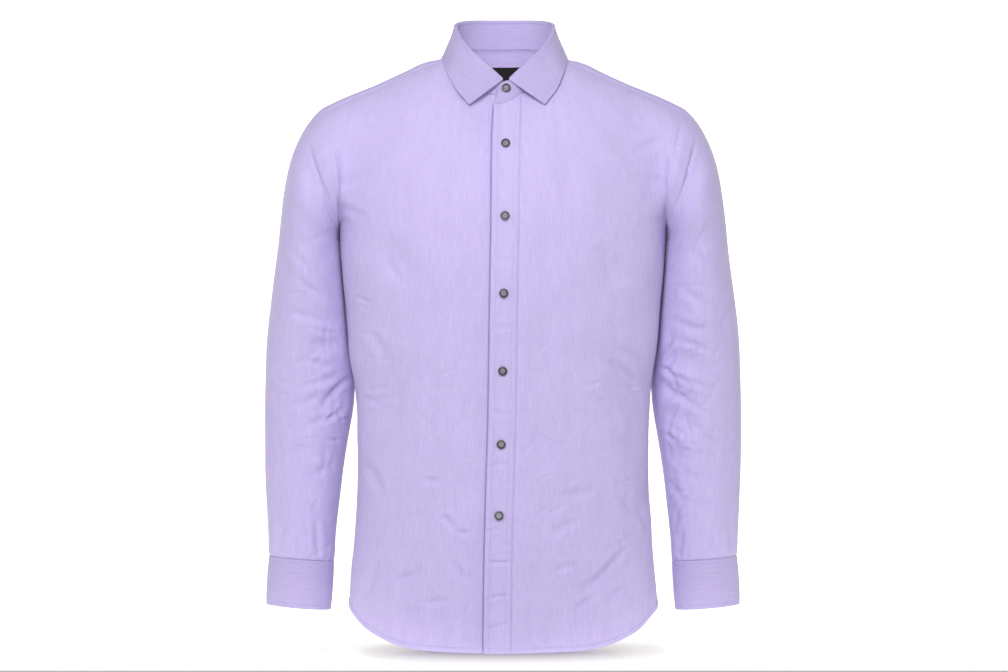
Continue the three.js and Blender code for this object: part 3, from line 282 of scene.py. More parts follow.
SLEEVE_CREASES = table(CREASE_COLUMNS, """
-1 -251 -112 -207 -222 -5 13 8
-1 249  -108 207  -222 5  13 8
-1 -276 -222 -228 -280 4  14 4
-1 -268 -196 -218 -262 3  12 4
-1 275  -214 232  -275 -4 14 4
-1 -253 -327 -208 -346 -4 12 4
-1 -246 -372 -206 -374 3  12 4
-1 -236 -456 -200 -430 3  12 4
-1 196  -418 246  -452 4  12 5
-1 203  -452 252  -488 3  12 5
-1 210  -500 250  -520 -3 12 4
-1 208  -388 262  -404 4  13 4
-1 -294 -596 -262 -612 -4 12 4
-1 246  -104 216  -200 4  3.6 2.4
-1 -248 -110 -214 -196 -4 3.6 2.2
-1 -224 -176 -207 -226 -2 4.5 1.8
-1 -272 -246 -240 -292 3  6  1.6
-1 -262 -286 -224 -320 2  6  1.5
-1 -282 -330 -236 -342 3  7  1.7
-1 -252 -346 -212 -358 -2 5  1.9
-1 -262 -392 -216 -402 3  6  1.8
-1 -258 -424 -210 -408 -3 7  1.9
-1 -282 -452 -234 -436 -3 8  1.6
-1 -256 -482 -214 -462 3  7  1.7
-1 -286 -512 -240 -506 3  9  1.5
-1 -252 -540 -214 -520 -3 8  1.5
-1 -290 -562 -256 -572 -3 8  1.4
-1 -238 -590 -236 -640 1  6  2.6
-1 -262 -604 -258 -642 1  5  2.0
-1 -282 -600 -288 -640 1  6  1.8
-1 -250 -572 -222 -600 2  8  1.5
-1 236  -250 266  -292 3  8  1.6
-1 222  -300 258  -326 3  8  1.5
-1 214  -340 266  -352 -3 7  1.8
-1 216  -366 272  -384 3  6  2.0
-1 200  -404 240  -424 3  5  2.3
-1 206  -434 262  -462 4  6  2.2
-1 204  -470 248  -504 3  6  2.0
-1 226  -412 282  -428 -4 7  1.8
-1 232  -480 286  -500 -4 8  1.6
-1 214  -534 256  -546 3  7  1.6
-1 228  -566 282  -580 -3 9  1.4
-1 290  -600 292  -640 1  6  2.4
-1 266  -604 268  -642 1  5  1.8
-1 226  -606 224  -642 1  6  2.0
-1 -230 -452 -194 -412 3  6  2.6
-1 -222 -470 -200 -444 -2 5  1.6
-1 216  -356 198  -388 3  6  2.2
-1 228  -372 206  -408 -3 6  2.2
-1 200  -398 222  -420 2  5  2.4
-1 204  -424 232  -438 -2 5  2.4
-1 222  -442 208  -470 2  5  2.0
-1 206  -486 226  -496 2  5  1.8
-1 214  -512 236  -532 -2 6  1.6
-1 212  -548 230  -574 2  6  1.8
-1 224  -580 214  -610 2  6  1.6
1  -252 -120 -212 -214 -5 14 7
1  252  -120 212  -214 5  14 7
1  -276 -380 -226 -420 5  14 5
1  -284 -440 -230 -462 -5 14 4
1  278  -376 228  -412 -5 14 5
1  282  -446 234  -478 5  14 4
1  -280 -250 -236 -300 4  9  1.8
1  -286 -330 -232 -350 -4 8  2.2
1  -284 -404 -224 -436 4  7  2.4
1  -288 -484 -236 -496 -4 8  1.9
1  -282 -540 -240 -560 4  9  1.6
1  280  -244 240  -292 -4 9  1.7
1  286  -326 236  -348 4  8  2.1
1  284  -396 222  -430 -4 7  2.5
1  288  -470 236  -500 4  8  1.9
1  280  -536 242  -566 -4 9  1.6
1  -256 -602 -254 -642 1  6  2.0
1  252  -604 254  -642 1  6  2.0
""")


# Curves

def mix(a, b, share):
    return a + (b - a) * share


def blend(start, end, x):
    """From 0 at the start to 1 at the end, with a soft beginning and ending."""
    share = np.clip((x - start) / (end - start), 0, 1)
    return share * share * (3 - 2 * share)


def point(x, y, z):
    return np.array([x, y, z], float)


def unit(vector):
    return vector / np.maximum(np.linalg.norm(vector, axis=-1, keepdims=True), 1e-9)


def hermite(a, slope_a, b, slope_b, t):
    rest = 1 - t
    return ((1 + 2 * t) * rest * rest * a + t * rest * rest * slope_a
            + t * t * (3 - 2 * t) * b - t * t * rest * slope_b)


def along(rows, key, at, column):
    """A smooth value between the rows of a table that is sorted by its key column."""
    keys, values = rows[key], rows[column]
    slopes = np.diff(values) / np.diff(keys)
    k = int(np.clip(np.searchsorted(keys, at), 1, len(keys) - 1))
    here = slopes[k - 1]
    before = (slopes[k - 2] + here) / 2 if k > 1 else here
    after = (here + slopes[k]) / 2 if k < len(keys) - 1 else here
    span = keys[k] - keys[k - 1]
    t = min(max((at - keys[k - 1]) / span, 0), 1)
    return hermite(values[k - 1], before * span, values[k], after * span, t)


def point_along(rows, key, at):
    return point(*(along(rows, key, at, column) for column in "xyz"))


def with_ends(rows, ends):
    """A seam's table with the points at both ends added, each under its share of the seam."""
    for share, p in ends:
        end = {"share": share, "x": p[0], "y": p[1], "z": p[2]}
        place = 0 if share == 0 else len(rows["share"])
        rows = {column: np.insert(values, place, end[column]) for column, values in rows.items()}
    return rows


# The body below the armpits

def body_point(deg, z, side):
    """A rounded section at each height, deg 0 in the middle of a side and 90 at the side seam."""
    angle = math.radians(deg)
    across = math.copysign(abs(math.sin(angle)) ** (2 / ROUNDNESS), deg)
    out = max(math.cos(angle), 0) ** (2 / ROUNDNESS)
    depth = along(BODY, "z", z, side) * (-1 if side == "front" else 1)
    return point(along(BODY, "z", z, "half") * across, SIDE_Y + depth * out, z)


def deg_at(x, half):
    return math.copysign(math.degrees(math.asin((abs(x) / half) ** (ROUNDNESS / 2))), x)


def body_half_at(y, z):
    """Half width of the body at a place in its depth, for what hangs beside it."""
    depth = along(BODY, "z", z, "front" if y < SIDE_Y else "back")
    share = min(abs(y - SIDE_Y) / depth, 1)
    return along(BODY, "z", z, "half") * (1 - share ** ROUNDNESS) ** (1 / ROUNDNESS)


def neck_point(deg):
    angle = math.radians(deg)
    return point(NECK.half * math.sin(angle), NECK.middle_y - NECK.deep * math.cos(angle),
                 along(COLLAR, "deg", abs(deg), "seam"))


def armhole_point(deg):
    return point_along(ARMHOLE, "deg", deg)


FRONT_SEAM = with_ends(
    YOKE_FRONT, [(0, neck_point(YOKE_DEG)), (1, armhole_point(YOKE_ON_ARMHOLE.front))])
BACK_SEAM = with_ends(YOKE_BACK, [(1, armhole_point(YOKE_ON_ARMHOLE.back))])
CHEST_HALF = along(BODY, "z", CHEST_Z, "half")
NECK_DEG = deg_at(NECK_CORNER_X, CHEST_HALF)


# The chest: lines from the armpits' section up to the neck or to the yoke

def chest_line(deg):
    low = body_point(deg, CHEST_Z, "front")
    above = body_point(deg, CHEST_Z + 1, "front")
    if deg > NECK_DEG:
        high = point_along(FRONT_SEAM, "share", (deg - NECK_DEG) / (90 - NECK_DEG))
    else:
        corner_x = neck_point(YOKE_DEG)[0]
        high = neck_point(math.degrees(math.asin(low[0] * corner_x / NECK_CORNER_X / NECK.half)))
    length = np.linalg.norm(high - low)
    steep = blend(0, NECK_CORNER_X, abs(low[0]))
    slope = math.radians(mix(NECK_SLOPE.middle, NECK_SLOPE.corner, steep))
    leaving = unit(above - low) * length
    arriving = point(0, math.cos(slope), math.sin(slope)) * NECK_SLOPE.pull * length
    return length, lambda t: hermite(low, leaving, high, arriving, t)


def chest_point(deg, t):
    p = chest_line(deg)[1](t)
    outer = max(0, (deg - NECK_DEG) / (90 - NECK_DEG)) ** 4
    if outer == 0:
        return p
    seam = armhole_point(mix(180, YOKE_ON_ARMHOLE.front, t))
    return p + (seam - chest_line(90)[1](t)) * outer


def lap_at(x):
    """How far the upper front is raised over the under one."""
    return LAP * (1 - blend(*LAP_FADE, x))


def front_panel(upper):
    """A front in the frame of its own side, with x growing from the middle to the side seam."""
    strip = PLACKET_WIDTH if upper else UNDER_STRIP

    def strip_x(column, z):
        fold = along(PLACKET, "z", z, "edge")
        return (fold if upper else -(fold + UNDERLAP)) + strip * min(column / STRIP_COLUMNS, 1)

    def strip_line(column, t):
        x = strip_x(column, CHEST_Z)
        for _ in range(5):
            p = chest_point(deg_at(x, CHEST_HALF), t)
            x += strip_x(column, p[2]) - p[0]
        return x

    def line_deg(column, strip_at):
        if column > NECK_COLUMNS:
            return mix(NECK_DEG, 90, (column - NECK_COLUMNS) / (SIDE_COLUMNS - NECK_COLUMNS))
        share = max(0, (column - STRIP_COLUMNS) / (NECK_COLUMNS - STRIP_COLUMNS))
        return deg_at(mix(strip_at(min(column, STRIP_COLUMNS)), NECK_CORNER_X, share), CHEST_HALF)

    def at(column, row):
        if row <= CHEST_ROWS:
            share = row / CHEST_ROWS
            middle_z = mix(HEM["front"][0], CHEST_Z, share)
            half = along(BODY, "z", middle_z, "half")
            deg = line_deg(column, lambda c: strip_x(c, middle_z) * CHEST_HALF / half)
            z = mix(along(HEM, "deg", abs(deg), "front"), CHEST_Z, share)
            p = body_point(deg, z, "front")
        else:
            t = (row - CHEST_ROWS) / FRONT_STEPS
            deg = line_deg(column, lambda c: strip_line(c, t))
            low_x = body_point(deg, CHEST_Z, "front")[0]
            drop = UPPER_DIP * (1 - blend(*UPPER_DIP_FADE, low_x)) if upper else 0
            reach = t * (1 - drop / chest_line(deg)[0])
            deg = line_deg(column, lambda c: strip_line(c, reach))
            p = chest_point(deg, reach)
        if upper:
            p[1] -= lap_at(p[0])
        return p

    return at


# The back and the yoke, whose columns run from the wearer's left armhole to the right one

def back_side(column):
    return 1 if column <= BACK_COLUMNS / 2 else -1


def back_share(step, at_middle, at_neck, at_side):
    """A value on the way from the middle past the neck's corner to the armhole."""
    if step <= BACK_NECK_COLUMNS:
        return mix(at_middle, at_neck, step / BACK_NECK_COLUMNS)
    return mix(at_neck, at_side, (step - BACK_NECK_COLUMNS) / (SIDE_COLUMNS - NECK_COLUMNS))


def to_armhole(column, rising, t, first, last):
    """Draws the outer columns of a panel onto the armhole."""
    step = abs(BACK_COLUMNS / 2 - column)
    outer = max(0, back_share(step, 0, 0, 1)) ** 4
    edge = 0 if column <= BACK_COLUMNS / 2 else BACK_COLUMNS
    seam = armhole_point(mix(first, last, t)) * point(back_side(column), 1, 1)
    return rising(column, t) + (seam - rising(edge, t)) * outer


def back_seam_point(column):
    share = back_share(abs(BACK_COLUMNS / 2 - column), 0, 0.33, 1)
    return point_along(BACK_SEAM, "share", share) * point(back_side(column), 1, 1)


def back_deg(column):
    step = abs(BACK_COLUMNS / 2 - column)
    if step > BACK_NECK_COLUMNS:
        return back_share(step, 0, NECK_DEG, 90)
    return deg_at(NECK_CORNER_X * step / BACK_NECK_COLUMNS, CHEST_HALF)


def back_rising(column, t):
    deg = back_deg(column) * back_side(column)
    low, above = body_point(deg, CHEST_Z, "back"), body_point(deg, CHEST_Z + 1, "back")
    high = back_seam_point(column)
    length = np.linalg.norm(high - low)
    return hermite(low, unit(above - low) * length, high, point(0, -0.22, 0.97) * length, t)


def back_point(column, row):
    if row > CHEST_ROWS:
        return to_armhole(column, back_rising, (row - CHEST_ROWS) / BACK_ROWS, -180,
                          YOKE_ON_ARMHOLE.back)
    deg = back_deg(column)
    z = mix(along(HEM, "deg", deg, "back"), CHEST_Z, row / CHEST_ROWS)
    return body_point(deg * back_side(column), z, "back")


def yoke_edge_point(column):
    step = abs(BACK_COLUMNS / 2 - column)
    if step <= BACK_NECK_COLUMNS:
        p = neck_point(mix(180, YOKE_DEG, step / BACK_NECK_COLUMNS))
    else:
        p = point_along(FRONT_SEAM, "share", back_share(step, 0, 0, 1))
    return p * point(back_side(column), 1, 1)


def yoke_rising(column, t):
    low, high = back_seam_point(column), yoke_edge_point(column)
    length = np.linalg.norm(high - low)
    step = abs(BACK_COLUMNS / 2 - column)
    slope = math.radians(mix(50, -17, blend(0, 9.5, step)))
    inward = min(step / BACK_NECK_COLUMNS, 1 - blend(BACK_NECK_COLUMNS, BACK_NECK_COLUMNS + 4, step))
    turn = math.radians(56 * inward)
    arriving = point(-back_side(column) * math.sin(turn) * math.cos(slope),
                     -math.cos(turn) * math.cos(slope), math.sin(slope))
    return hermite(low, point(0, -0.22, 0.97) * length, high, arriving * length, t)


def yoke_point(column, row):
    return to_armhole(column, yoke_rising, row / YOKE_ROWS, YOKE_ON_ARMHOLE.back,
                      YOKE_ON_ARMHOLE.front)


# The sleeves: their columns start under the arm and go round by the front

def armhole_deg(column):
    if column <= FRONT_STEPS:
        return mix(180, YOKE_ON_ARMHOLE.front, column / FRONT_STEPS)
    if column <= FRONT_STEPS + YOKE_ROWS:
        share = (column - FRONT_STEPS) / YOKE_ROWS
        return mix(YOKE_ON_ARMHOLE.front, YOKE_ON_ARMHOLE.back, share)
    return mix(YOKE_ON_ARMHOLE.back, -180, (column - FRONT_STEPS - YOKE_ROWS) / BACK_ROWS)


ARMHOLE_STEPS = np.array([armhole_point(armhole_deg(c)) for c in range(SLEEVE_COLUMNS + 1)])
STEP_LENGTHS = np.linalg.norm(np.diff(ARMHOLE_STEPS, axis=0), axis=1)
ROUND_SHARE = np.concatenate([[0], np.cumsum(STEP_LENGTHS)]) / np.sum(STEP_LENGTHS)


def tube_point(rows, deg, z, out=0.0):
    outer, inner = along(rows, "z", z, "outer"), along(rows, "z", z, "inner")
    angle = math.radians(deg)
    x = (outer + inner) / 2 - ((outer - inner) / 2 + out) * math.cos(angle)
    y = along(rows, "z", z, "middle") - (along(rows, "z", z, "deep") + out) * math.sin(angle)
    tilt = CUFF_TILT * blend(-480, SLEEVE_END_Z, z)
    return point(max(x, body_half_at(y, z) + SLEEVE_CLEAR), y, z + tilt * (x - (outer + inner) / 2))


def sleeve_point(column, row):
    deg = 360 * ROUND_SHARE[column]
    if row >= CAP_ROWS:
        share = (row - CAP_ROWS) / (SLEEVE_ROWS - CAP_ROWS)
        return tube_point(SLEEVE, deg, mix(SLEEVE_START_Z, SLEEVE_END_Z, share))
    seam = armhole_point(armhole_deg(column))
    low = tube_point(SLEEVE, deg, SLEEVE_START_Z)
    below = tube_point(SLEEVE, deg, SLEEVE_START_Z - 2)
    length = 1.04 * np.linalg.norm(seam - low)
    leaving = unit(point_along(CAP, "deg", armhole_deg(column))) * length
    return hermite(seam, leaving, low, unit(below - low) * length, row / CAP_ROWS)


def cuff_point(column, row):
    """A cuff is one band whose ends lap over each other towards the back."""
    turn = 360 + CUFF_LAP_DEG
    share = column / CUFF_COLUMNS
    deg = CUFF_OPENING_DEG + CUFF_LAP_DEG / 2 - turn * (1 - share)
    rise = blend(1 - (CUFF_LAP_DEG + 26) / turn, 1 - (CUFF_LAP_DEG + 2) / turn, share)
    z = mix(SLEEVE_END_Z, CUFF["z"][0], row / CUFF_ROWS)
    return tube_point(CUFF, deg, z, (BAND + 0.9) * rise)


# Cloth: fine grids of points, with outward directions and the place of each point in the weave

def grid_of(rows, columns, at):
    return np.array([[at(j, i) for j in range(columns + 1)] for i in range(rows + 1)])


def spline_weights(count, places):
    """Weights that turn values at 0, 1, 2 and so on into a smooth curve's values at the places."""
    system, second = np.eye(count), np.zeros((count, count))
    for k in range(1, count - 1):
        system[k, k - 1:k + 2] = 1, 4, 1
        second[k, k - 1:k + 2] = 6, -12, 6
    curving = np.linalg.solve(system, second)
    low = np.clip(np.floor(places).astype(int), 0, count - 2)
    t = (places - low)[:, None]
    eye = np.eye(count)
    rest = 1 - t
    return (rest * eye[low] + t * eye[low + 1]
            + (rest ** 3 - rest) / 6 * curving[low] + (t ** 3 - t) / 6 * curving[low + 1])


def finer(base, rows, columns):
    """The smooth surface through a grid of points, at these places between its rows and columns."""
    down = spline_weights(base.shape[0], rows)
    across = spline_weights(base.shape[1], columns)
    return np.einsum("ai,ijk,bj->abk", down, base, across)


def places(*stretches, near_low=(), near_high=()):
    """Grid places: evenly over stretches of (end, steps), with more of them near both ends."""
    found, start = [0.0], 0.0
    for end, steps in stretches:
        found.extend(np.linspace(start, end, steps + 1)[1:])
        start = end
    found.extend(near_low)
    found.extend(start - place for place in near_high)
    found = np.unique(np.round(found, 4))
    return found[np.insert(np.diff(found) > 0.004, 0, True)]


def directions(points, facing, closed):
    """Outward directions at a grid's points."""
    across = np.gradient(points, axis=1)
    down = np.gradient(points, axis=0)
    if closed:
        across[:, 0] = across[:, -1] = points[:, 1] - points[:, -2]
    return unit(np.cross(across, down)) * facing


def arc(points, axis):
    """Length along a grid's lines, from their start."""
    steps = np.linalg.norm(np.diff(points, axis=axis), axis=2)
    pad = [(0, 0), (0, 0)]
    pad[axis] = (1, 0)
    return np.pad(np.cumsum(steps, axis=axis), pad)


def piece_of(rows, columns, points, facing, weave=None, closed=False):
    """A piece of cloth. Where no weave is given, its warp runs along the rows, as in a band."""
    if weave is None:
        weave = np.stack([arc(points, 0), arc(points, 1)], axis=2)
    piece = SimpleNamespace(rows=rows, columns=columns, points=points, facing=facing, weave=weave,
                            closed=closed)
    renew(piece)
    return piece


def cloth(base, rows, columns, facing, closed=False, grain_row=0, grain_column=0, crosswise=False):
    """A panel. Its weave is laid out by lengths from one row and one column of it."""
    points = finer(base, rows, columns)
    across, up = arc(points, 1), arc(points, 0)
    across -= across[:, [np.argmin(abs(columns - grain_column))]]
    up -= up[[np.argmin(abs(rows - grain_row))], :]
    weave = np.stack([up, across] if crosswise else [across, up], axis=2)
    return piece_of(rows, columns, points, facing, weave, closed)


def renew(piece):
    piece.out = directions(piece.points, piece.facing, piece.closed)


def raise_by(piece, height):
    """Moves a piece's points out by a height for each of them."""
    piece.points = piece.points + piece.out * height[..., None]
    renew(piece)


# Creases narrower than this are pressed deeper and sharper than their tables give
FINE_WIDTH, FINE_SHARE, FINE_NARROW = 10, 1.5, 0.7


def crease_depth(piece, creases):
    """How deep the creases press the cloth at its points."""
    x, z = piece.points[..., 0], piece.points[..., 2]
    total = np.zeros(x.shape)
    for k in range(len(creases["deep"])):
        c = {column: values[k] for column, values in creases.items()}
        dx, dz = c["x2"] - c["x1"], c["z2"] - c["z1"]
        length = math.hypot(dx, dz)
        reach = length / 2 + 4 * c["width"] + abs(c["bow"])
        near = np.hypot(x - (c["x1"] + c["x2"]) / 2, z - (c["z1"] + c["z2"]) / 2) < reach
        px, pz = x[near] - c["x1"], z[near] - c["z1"]
        inside = np.clip((px * dx + pz * dz) / length ** 2, 0, 1)
        across = (pz * dx - px * dz) / length - 4 * c["bow"] * inside * (1 - inside)
        fine = c["width"] < FINE_WIDTH
        across = across / (c["width"] * (FINE_NARROW if fine else 1))
        seen = blend(0.05, 0.55, piece.out[..., 1][near] * c["facing"])
        trough = np.exp(-across ** 2) - 0.4 * np.exp(-(np.abs(across) - 1.7) ** 2)
        deep = c["deep"] * (FINE_SHARE if fine else 1)
        total[near] += deep * seen * trough * np.sin(np.pi * inside) ** 0.7
    return total


def scattered(seed, count, x_range, z_range, lean):
    """Small wrinkles strewn over the front and the back of a stretch of cloth."""
    chance = np.random.default_rng(seed)
    x, z = chance.uniform(*x_range, count), mix(*z_range, chance.beta(1.5, 1.1, count))
    angle = np.radians(chance.normal(lean, 34, count))
    half = chance.uniform(8, 30, count)
    return {"facing": chance.choice([-1, 1], count),
            "x1": x - half * np.cos(angle), "z1": z - half * np.sin(angle),
            "x2": x + half * np.cos(angle), "z2": z + half * np.sin(angle),
            "bow": chance.normal(0, 2.5, count), "width": chance.uniform(2.2, 5.5, count),
            "deep": chance.uniform(0.25, 0.75, count)}


def together(*parts):
    return {column: np.concatenate([part[column] for part in parts]) for column in parts[0]}


# The inner sides of the sleeves, beside the waist, are crumpled in all directions
BODY_WRINKLES = scattered(11, 210, (-195, 195), (-260, -745), 20)
SLEEVE_WRINKLES = {
    1: together(scattered(23, 130, (200, 302), (-200, -640), 20),
                scattered(51, 100, (198, 256), (-370, -610), 75)),
    -1: together(scattered(37, 130, (-302, -200), (-200, -640), -15),
                 scattered(67, 60, (-256, -200), (-370, -610), 105))}
SLEEVE_CREASE_SHARE = 0.7  # the sleeves' creases are pressed shallower than their table gives


def body_creases(piece):
    return crease_depth(piece, BODY_CREASES) + crease_depth(piece, BODY_WRINKLES)


def sleeve_creases(piece, side):
    return (SLEEVE_CREASE_SHARE * crease_depth(piece, SLEEVE_CREASES)
            + crease_depth(piece, SLEEVE_WRINKLES[side]))


RIPPLES = table("length deg phase", """
96 74  0.4
71 118 2.1
128 96 4.0
54 38  1.2
62 152 5.1
83 8   3.3
""")


def drape(piece, height):
    """Long shallow waves, so that no stretch of the cloth is quite even."""
    x, y, z = np.moveaxis(piece.points, 2, 0)
    total = np.zeros(x.shape)
    for length, deg, phase in zip(*RIPPLES.values()):
        angle = math.radians(deg)
        total += np.sin(2 * np.pi * ((x + 0.6 * y) * math.cos(angle) + z * math.sin(angle)) / length
                        + phase)
    return total * height / len(RIPPLES["deg"])


def from_edge(piece, edge):
    """Distance of a piece's points from one of its edges, along the cloth."""
    axis = 0 if edge in ("low", "high") else 1
    lengths = arc(piece.points, axis)
    if edge in ("low", "first"):
        return lengths
    return (lengths[-1:, :] if axis == 0 else lengths[:, -1:]) - lengths


def step_height(distance, width, height, groove):
    """Height of a turned and stitched border: a raised band that ends in a groove."""
    band = height * (1 - blend(width - 0.8, width + 0.9, distance))
    return band - groove * np.exp(-((distance - width) / 1.1) ** 2)


def stitched(distance, inset, depth, width):
    """The groove that a line of stitches draws into the cloth."""
    return -depth * np.exp(-((distance - inset) / width) ** 2)


def pucker(distance, lengthwise, reach, height):
    """Small ripples across a seam, where its stitches draw the cloth together."""
    waves = np.sin(lengthwise / 1.55 + 1.3 * np.sin(lengthwise / 9.7))
    waves = waves + 0.7 * np.sin(lengthwise / 2.7 + 2 * np.sin(lengthwise / 23))
    return height * np.exp(-distance / reach) * waves


def inset_line(piece, edge, distance):
    """The line at a distance inside one of a piece's edges, with its outward directions."""
    points, out = piece.points, piece.out
    if edge in ("first", "last"):
        points, out = points.transpose(1, 0, 2), out.transpose(1, 0, 2)
    if edge in ("high", "last"):
        points, out = points[::-1], out[::-1]
    lengths = arc(points, 0)
    line, normals = [], []
    for j in range(points.shape[1]):
        k = min(max(np.searchsorted(lengths[:, j], distance), 1), len(lengths) - 1)
        share = (distance - lengths[k - 1, j]) / (lengths[k, j] - lengths[k - 1, j])
        line.append(mix(points[k - 1, j], points[k, j], share))
        normals.append(mix(out[k - 1, j], out[k, j], share))
    return np.array(line), unit(np.array(normals))


def sample(piece, rows, columns):
    """Points, directions and weave of a piece at places between its rows and columns."""
    i = np.interp(rows, piece.rows, np.arange(len(piece.rows)))
    j = np.interp(columns, piece.columns, np.arange(len(piece.columns)))
    low_i = np.minimum(i.astype(int), len(piece.rows) - 2)
    low_j = np.minimum(j.astype(int), len(piece.columns) - 2)
    s, t = (i - low_i)[..., None], (j - low_j)[..., None]
    found = []
    for values in (piece.points, piece.out, piece.weave):
        near = mix(values[low_i, low_j], values[low_i, low_j + 1], t)
        far = mix(values[low_i + 1, low_j], values[low_i + 1, low_j + 1], t)
        found.append(mix(near, far, s))
    return found


def laid_on(piece, rows, columns, height):
    """A strip of cloth on another piece, at a height over it."""
    points, out, weave = sample(piece, rows, columns)
    return piece_of(rows[:, 0], columns[0], points + unit(out) * height, piece.facing, weave)


# Meshes

def add_mesh(name, vertices, faces, material, corner_weave=None):
    mesh = bpy.data.meshes.new(name)
    mesh.from_pydata((np.asarray(vertices) * MM).tolist(), [], faces)
    if corner_weave is not None:
        layer = mesh.uv_layers.new(name="weave")
        layer.data.foreach_set("uv", (np.asarray(corner_weave) * MM).ravel())
    mesh.materials.append(material)
    made = bpy.data.objects.new(name, mesh)
    bpy.context.collection.objects.link(made)
    return made


def smooth(piece, deg):
    bpy.ops.object.select_all(action="DESELECT")
    piece.select_set(True)
    bpy.context.view_layer.objects.active = piece
    bpy.ops.object.shade_smooth_by_angle(angle=math.radians(deg))


def shell(name, piece, thickness, material):
    """The mesh of a piece of cloth: its outer skin, an inner one and the edges between them."""
    rows, columns = piece.points.shape[:2]
    across = columns - 1 if piece.closed else columns
    ids = np.arange(rows)[:, None] * across + np.arange(columns)[None, :] % across
    inner = rows * across
    skin = piece.points[:, :across].reshape(-1, 3)
    lining = (piece.points - piece.out * thickness)[:, :across].reshape(-1, 3)
    weave = piece.weave
    corners = [(slice(0, -1), slice(0, -1)), (slice(0, -1), slice(1, None)),
               (slice(1, None), slice(1, None)), (slice(1, None), slice(0, -1))]
    quads = np.stack([ids[corner] for corner in corners], axis=-1).reshape(-1, 4)
    quad_weave = np.stack([weave[corner] for corner in corners], axis=2).reshape(-1, 4, 2)
    faces = [quads, quads[:, ::-1] + inner]
    weaves = [quad_weave, quad_weave[:, ::-1]]
    borders = [(ids[0, ::-1], weave[0, ::-1]), (ids[-1], weave[-1])]
    if not piece.closed:
        borders += [(ids[:, 0], weave[:, 0]), (ids[::-1, -1], weave[::-1, -1])]
    for line, line_weave in borders:
        a, b = line[:-1], line[1:]
        faces.append(np.stack([a, b, b + inner, a + inner], axis=1))
        wa, wb = line_weave[:-1], line_weave[1:]
        weaves.append(np.stack([wa, wb, wb, wa], axis=1))
    faces, weaves = np.concatenate(faces), np.concatenate(weaves)
    if piece.facing < 0:
        faces, weaves = faces[:, ::-1], weaves[:, ::-1]
    made = add_mesh(name, np.concatenate([skin, lining]), faces.tolist(), material, weaves)
    smooth(made, 50)
    return made


THREAD_RADIUS = 0.26  # drawn a little thicker than sewing thread, so that it shows
STITCH, STITCH_PITCH = 2.3, 3.1


def stitches(name, runs, material, length=STITCH, pitch=STITCH_PITCH, radius=THREAD_RADIUS):
    """A row of short threads along each line, each dipping into the cloth at both ends."""
    starts, ends, outs = [], [], []
    for line, out in runs:
        lengths = np.concatenate([[0], np.cumsum(np.linalg.norm(np.diff(line, axis=0), axis=1))])
        at = np.arange(0.4, lengths[-1] - length, pitch)
        for found, offset in ((starts, 0), (ends, length)):
            found.append(np.stack([np.interp(at + offset, lengths, line[:, k]) for k in range(3)], 1))
        outs.append(np.stack([np.interp(at + length / 2, lengths, out[:, k]) for k in range(3)], 1))
    start, end, out = (np.concatenate(parts) for parts in (starts, ends, outs))
    side = unit(np.cross(end - start, out))
    rings = []
    for share, lift, size in ((0, -0.1, 0.5), (0.25, 0.18, 1), (0.75, 0.18, 1), (1, -0.1, 0.5)):
        middle = mix(start, end, share) + out * lift
        for across, up in ((1, 0), (0, 1), (-1, 0), (0, -1)):
            rings.append(middle + (side * across + out * up) * radius * size)
    vertices = np.stack(rings, axis=1).reshape(-1, 3)
    faces = [(3, 2, 1, 0), (12, 13, 14, 15)]
    for ring in range(3):
        for k in range(4):
            a, b = ring * 4 + k, ring * 4 + (k + 1) % 4
            faces.append((a, b, b + 4, a + 4))
    every = (np.array(faces)[None] + np.arange(len(start))[:, None, None] * 16).reshape(-1, 4)
    made = add_mesh(name, vertices, every.tolist(), material)
    smooth(made, 80)
    return made


def finish_piece(piece, slot, *nodes):
    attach(piece, "root")
    if nodes:
        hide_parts(*nodes)


# Materials

def linear(hex_colour):
    """An sRGB hex colour as linear red, green, blue and alpha."""
    parts = [int(hex_colour[k:k + 2], 16) / 255 for k in (1, 3, 5)]
    return [c / 12.92 if c <= 0.04045 else ((c + 0.055) / 1.055) ** 2.4 for c in parts] + [1.0]


def add_node(tree, kind, inputs=None, **settings):
    """Adds a node with its settings. Its inputs are values, or outputs of other nodes."""
    node = tree.nodes.new(kind)
    for name, value in settings.items():
        setattr(node, name, value)
    for name, value in (inputs or {}).items():
        if isinstance(value, bpy.types.NodeSocket):
            tree.links.new(value, node.inputs[name])
        else:
            node.inputs[name].default_value = value
    return node


def new_material(name, **surface):
    material = bpy.data.materials.new(name)
    material.use_nodes = True
    shader = material.node_tree.nodes["Principled BSDF"]
    for key, value in surface.items():
        shader.inputs[key.replace("_", " ")].default_value = value
    return material, material.node_tree, shader


def streak(tree, weave, wide, long, detail=2.0):
    """Noise drawn out along the warp: wide and long are the sizes of its streaks, in millimetres."""
    stretched = add_node(tree, "ShaderNodeMapping", {
        "Vector": weave, "Scale": (1 / (wide * MM), 1 / (long * MM), 1)})
    return add_node(tree, "ShaderNodeTexNoise", {
        "Vector": stretched.outputs["Vector"], "Scale": 1.0, "Detail": detail,
        "Roughness": 0.6}).outputs["Fac"]


def tint(tree, factor, low, high, start=0.3, end=0.7):
    """A colour between two, by a factor."""
    ramp = add_node(tree, "ShaderNodeValToRGB", {"Fac": factor})
    ramp.color_ramp.elements[0].position = start
    ramp.color_ramp.elements[0].color = low
    ramp.color_ramp.elements[1].position = end
    ramp.color_ramp.elements[1].color = high
    return ramp.outputs["Color"]


def maths(tree, operation, a, b):
    node = add_node(tree, "ShaderNodeMath", operation=operation)
    for socket, value in zip(node.inputs, (a, b)):
        if isinstance(value, bpy.types.NodeSocket):
            tree.links.new(value, socket)
        else:
            socket.default_value = value
    return node.outputs["Value"]


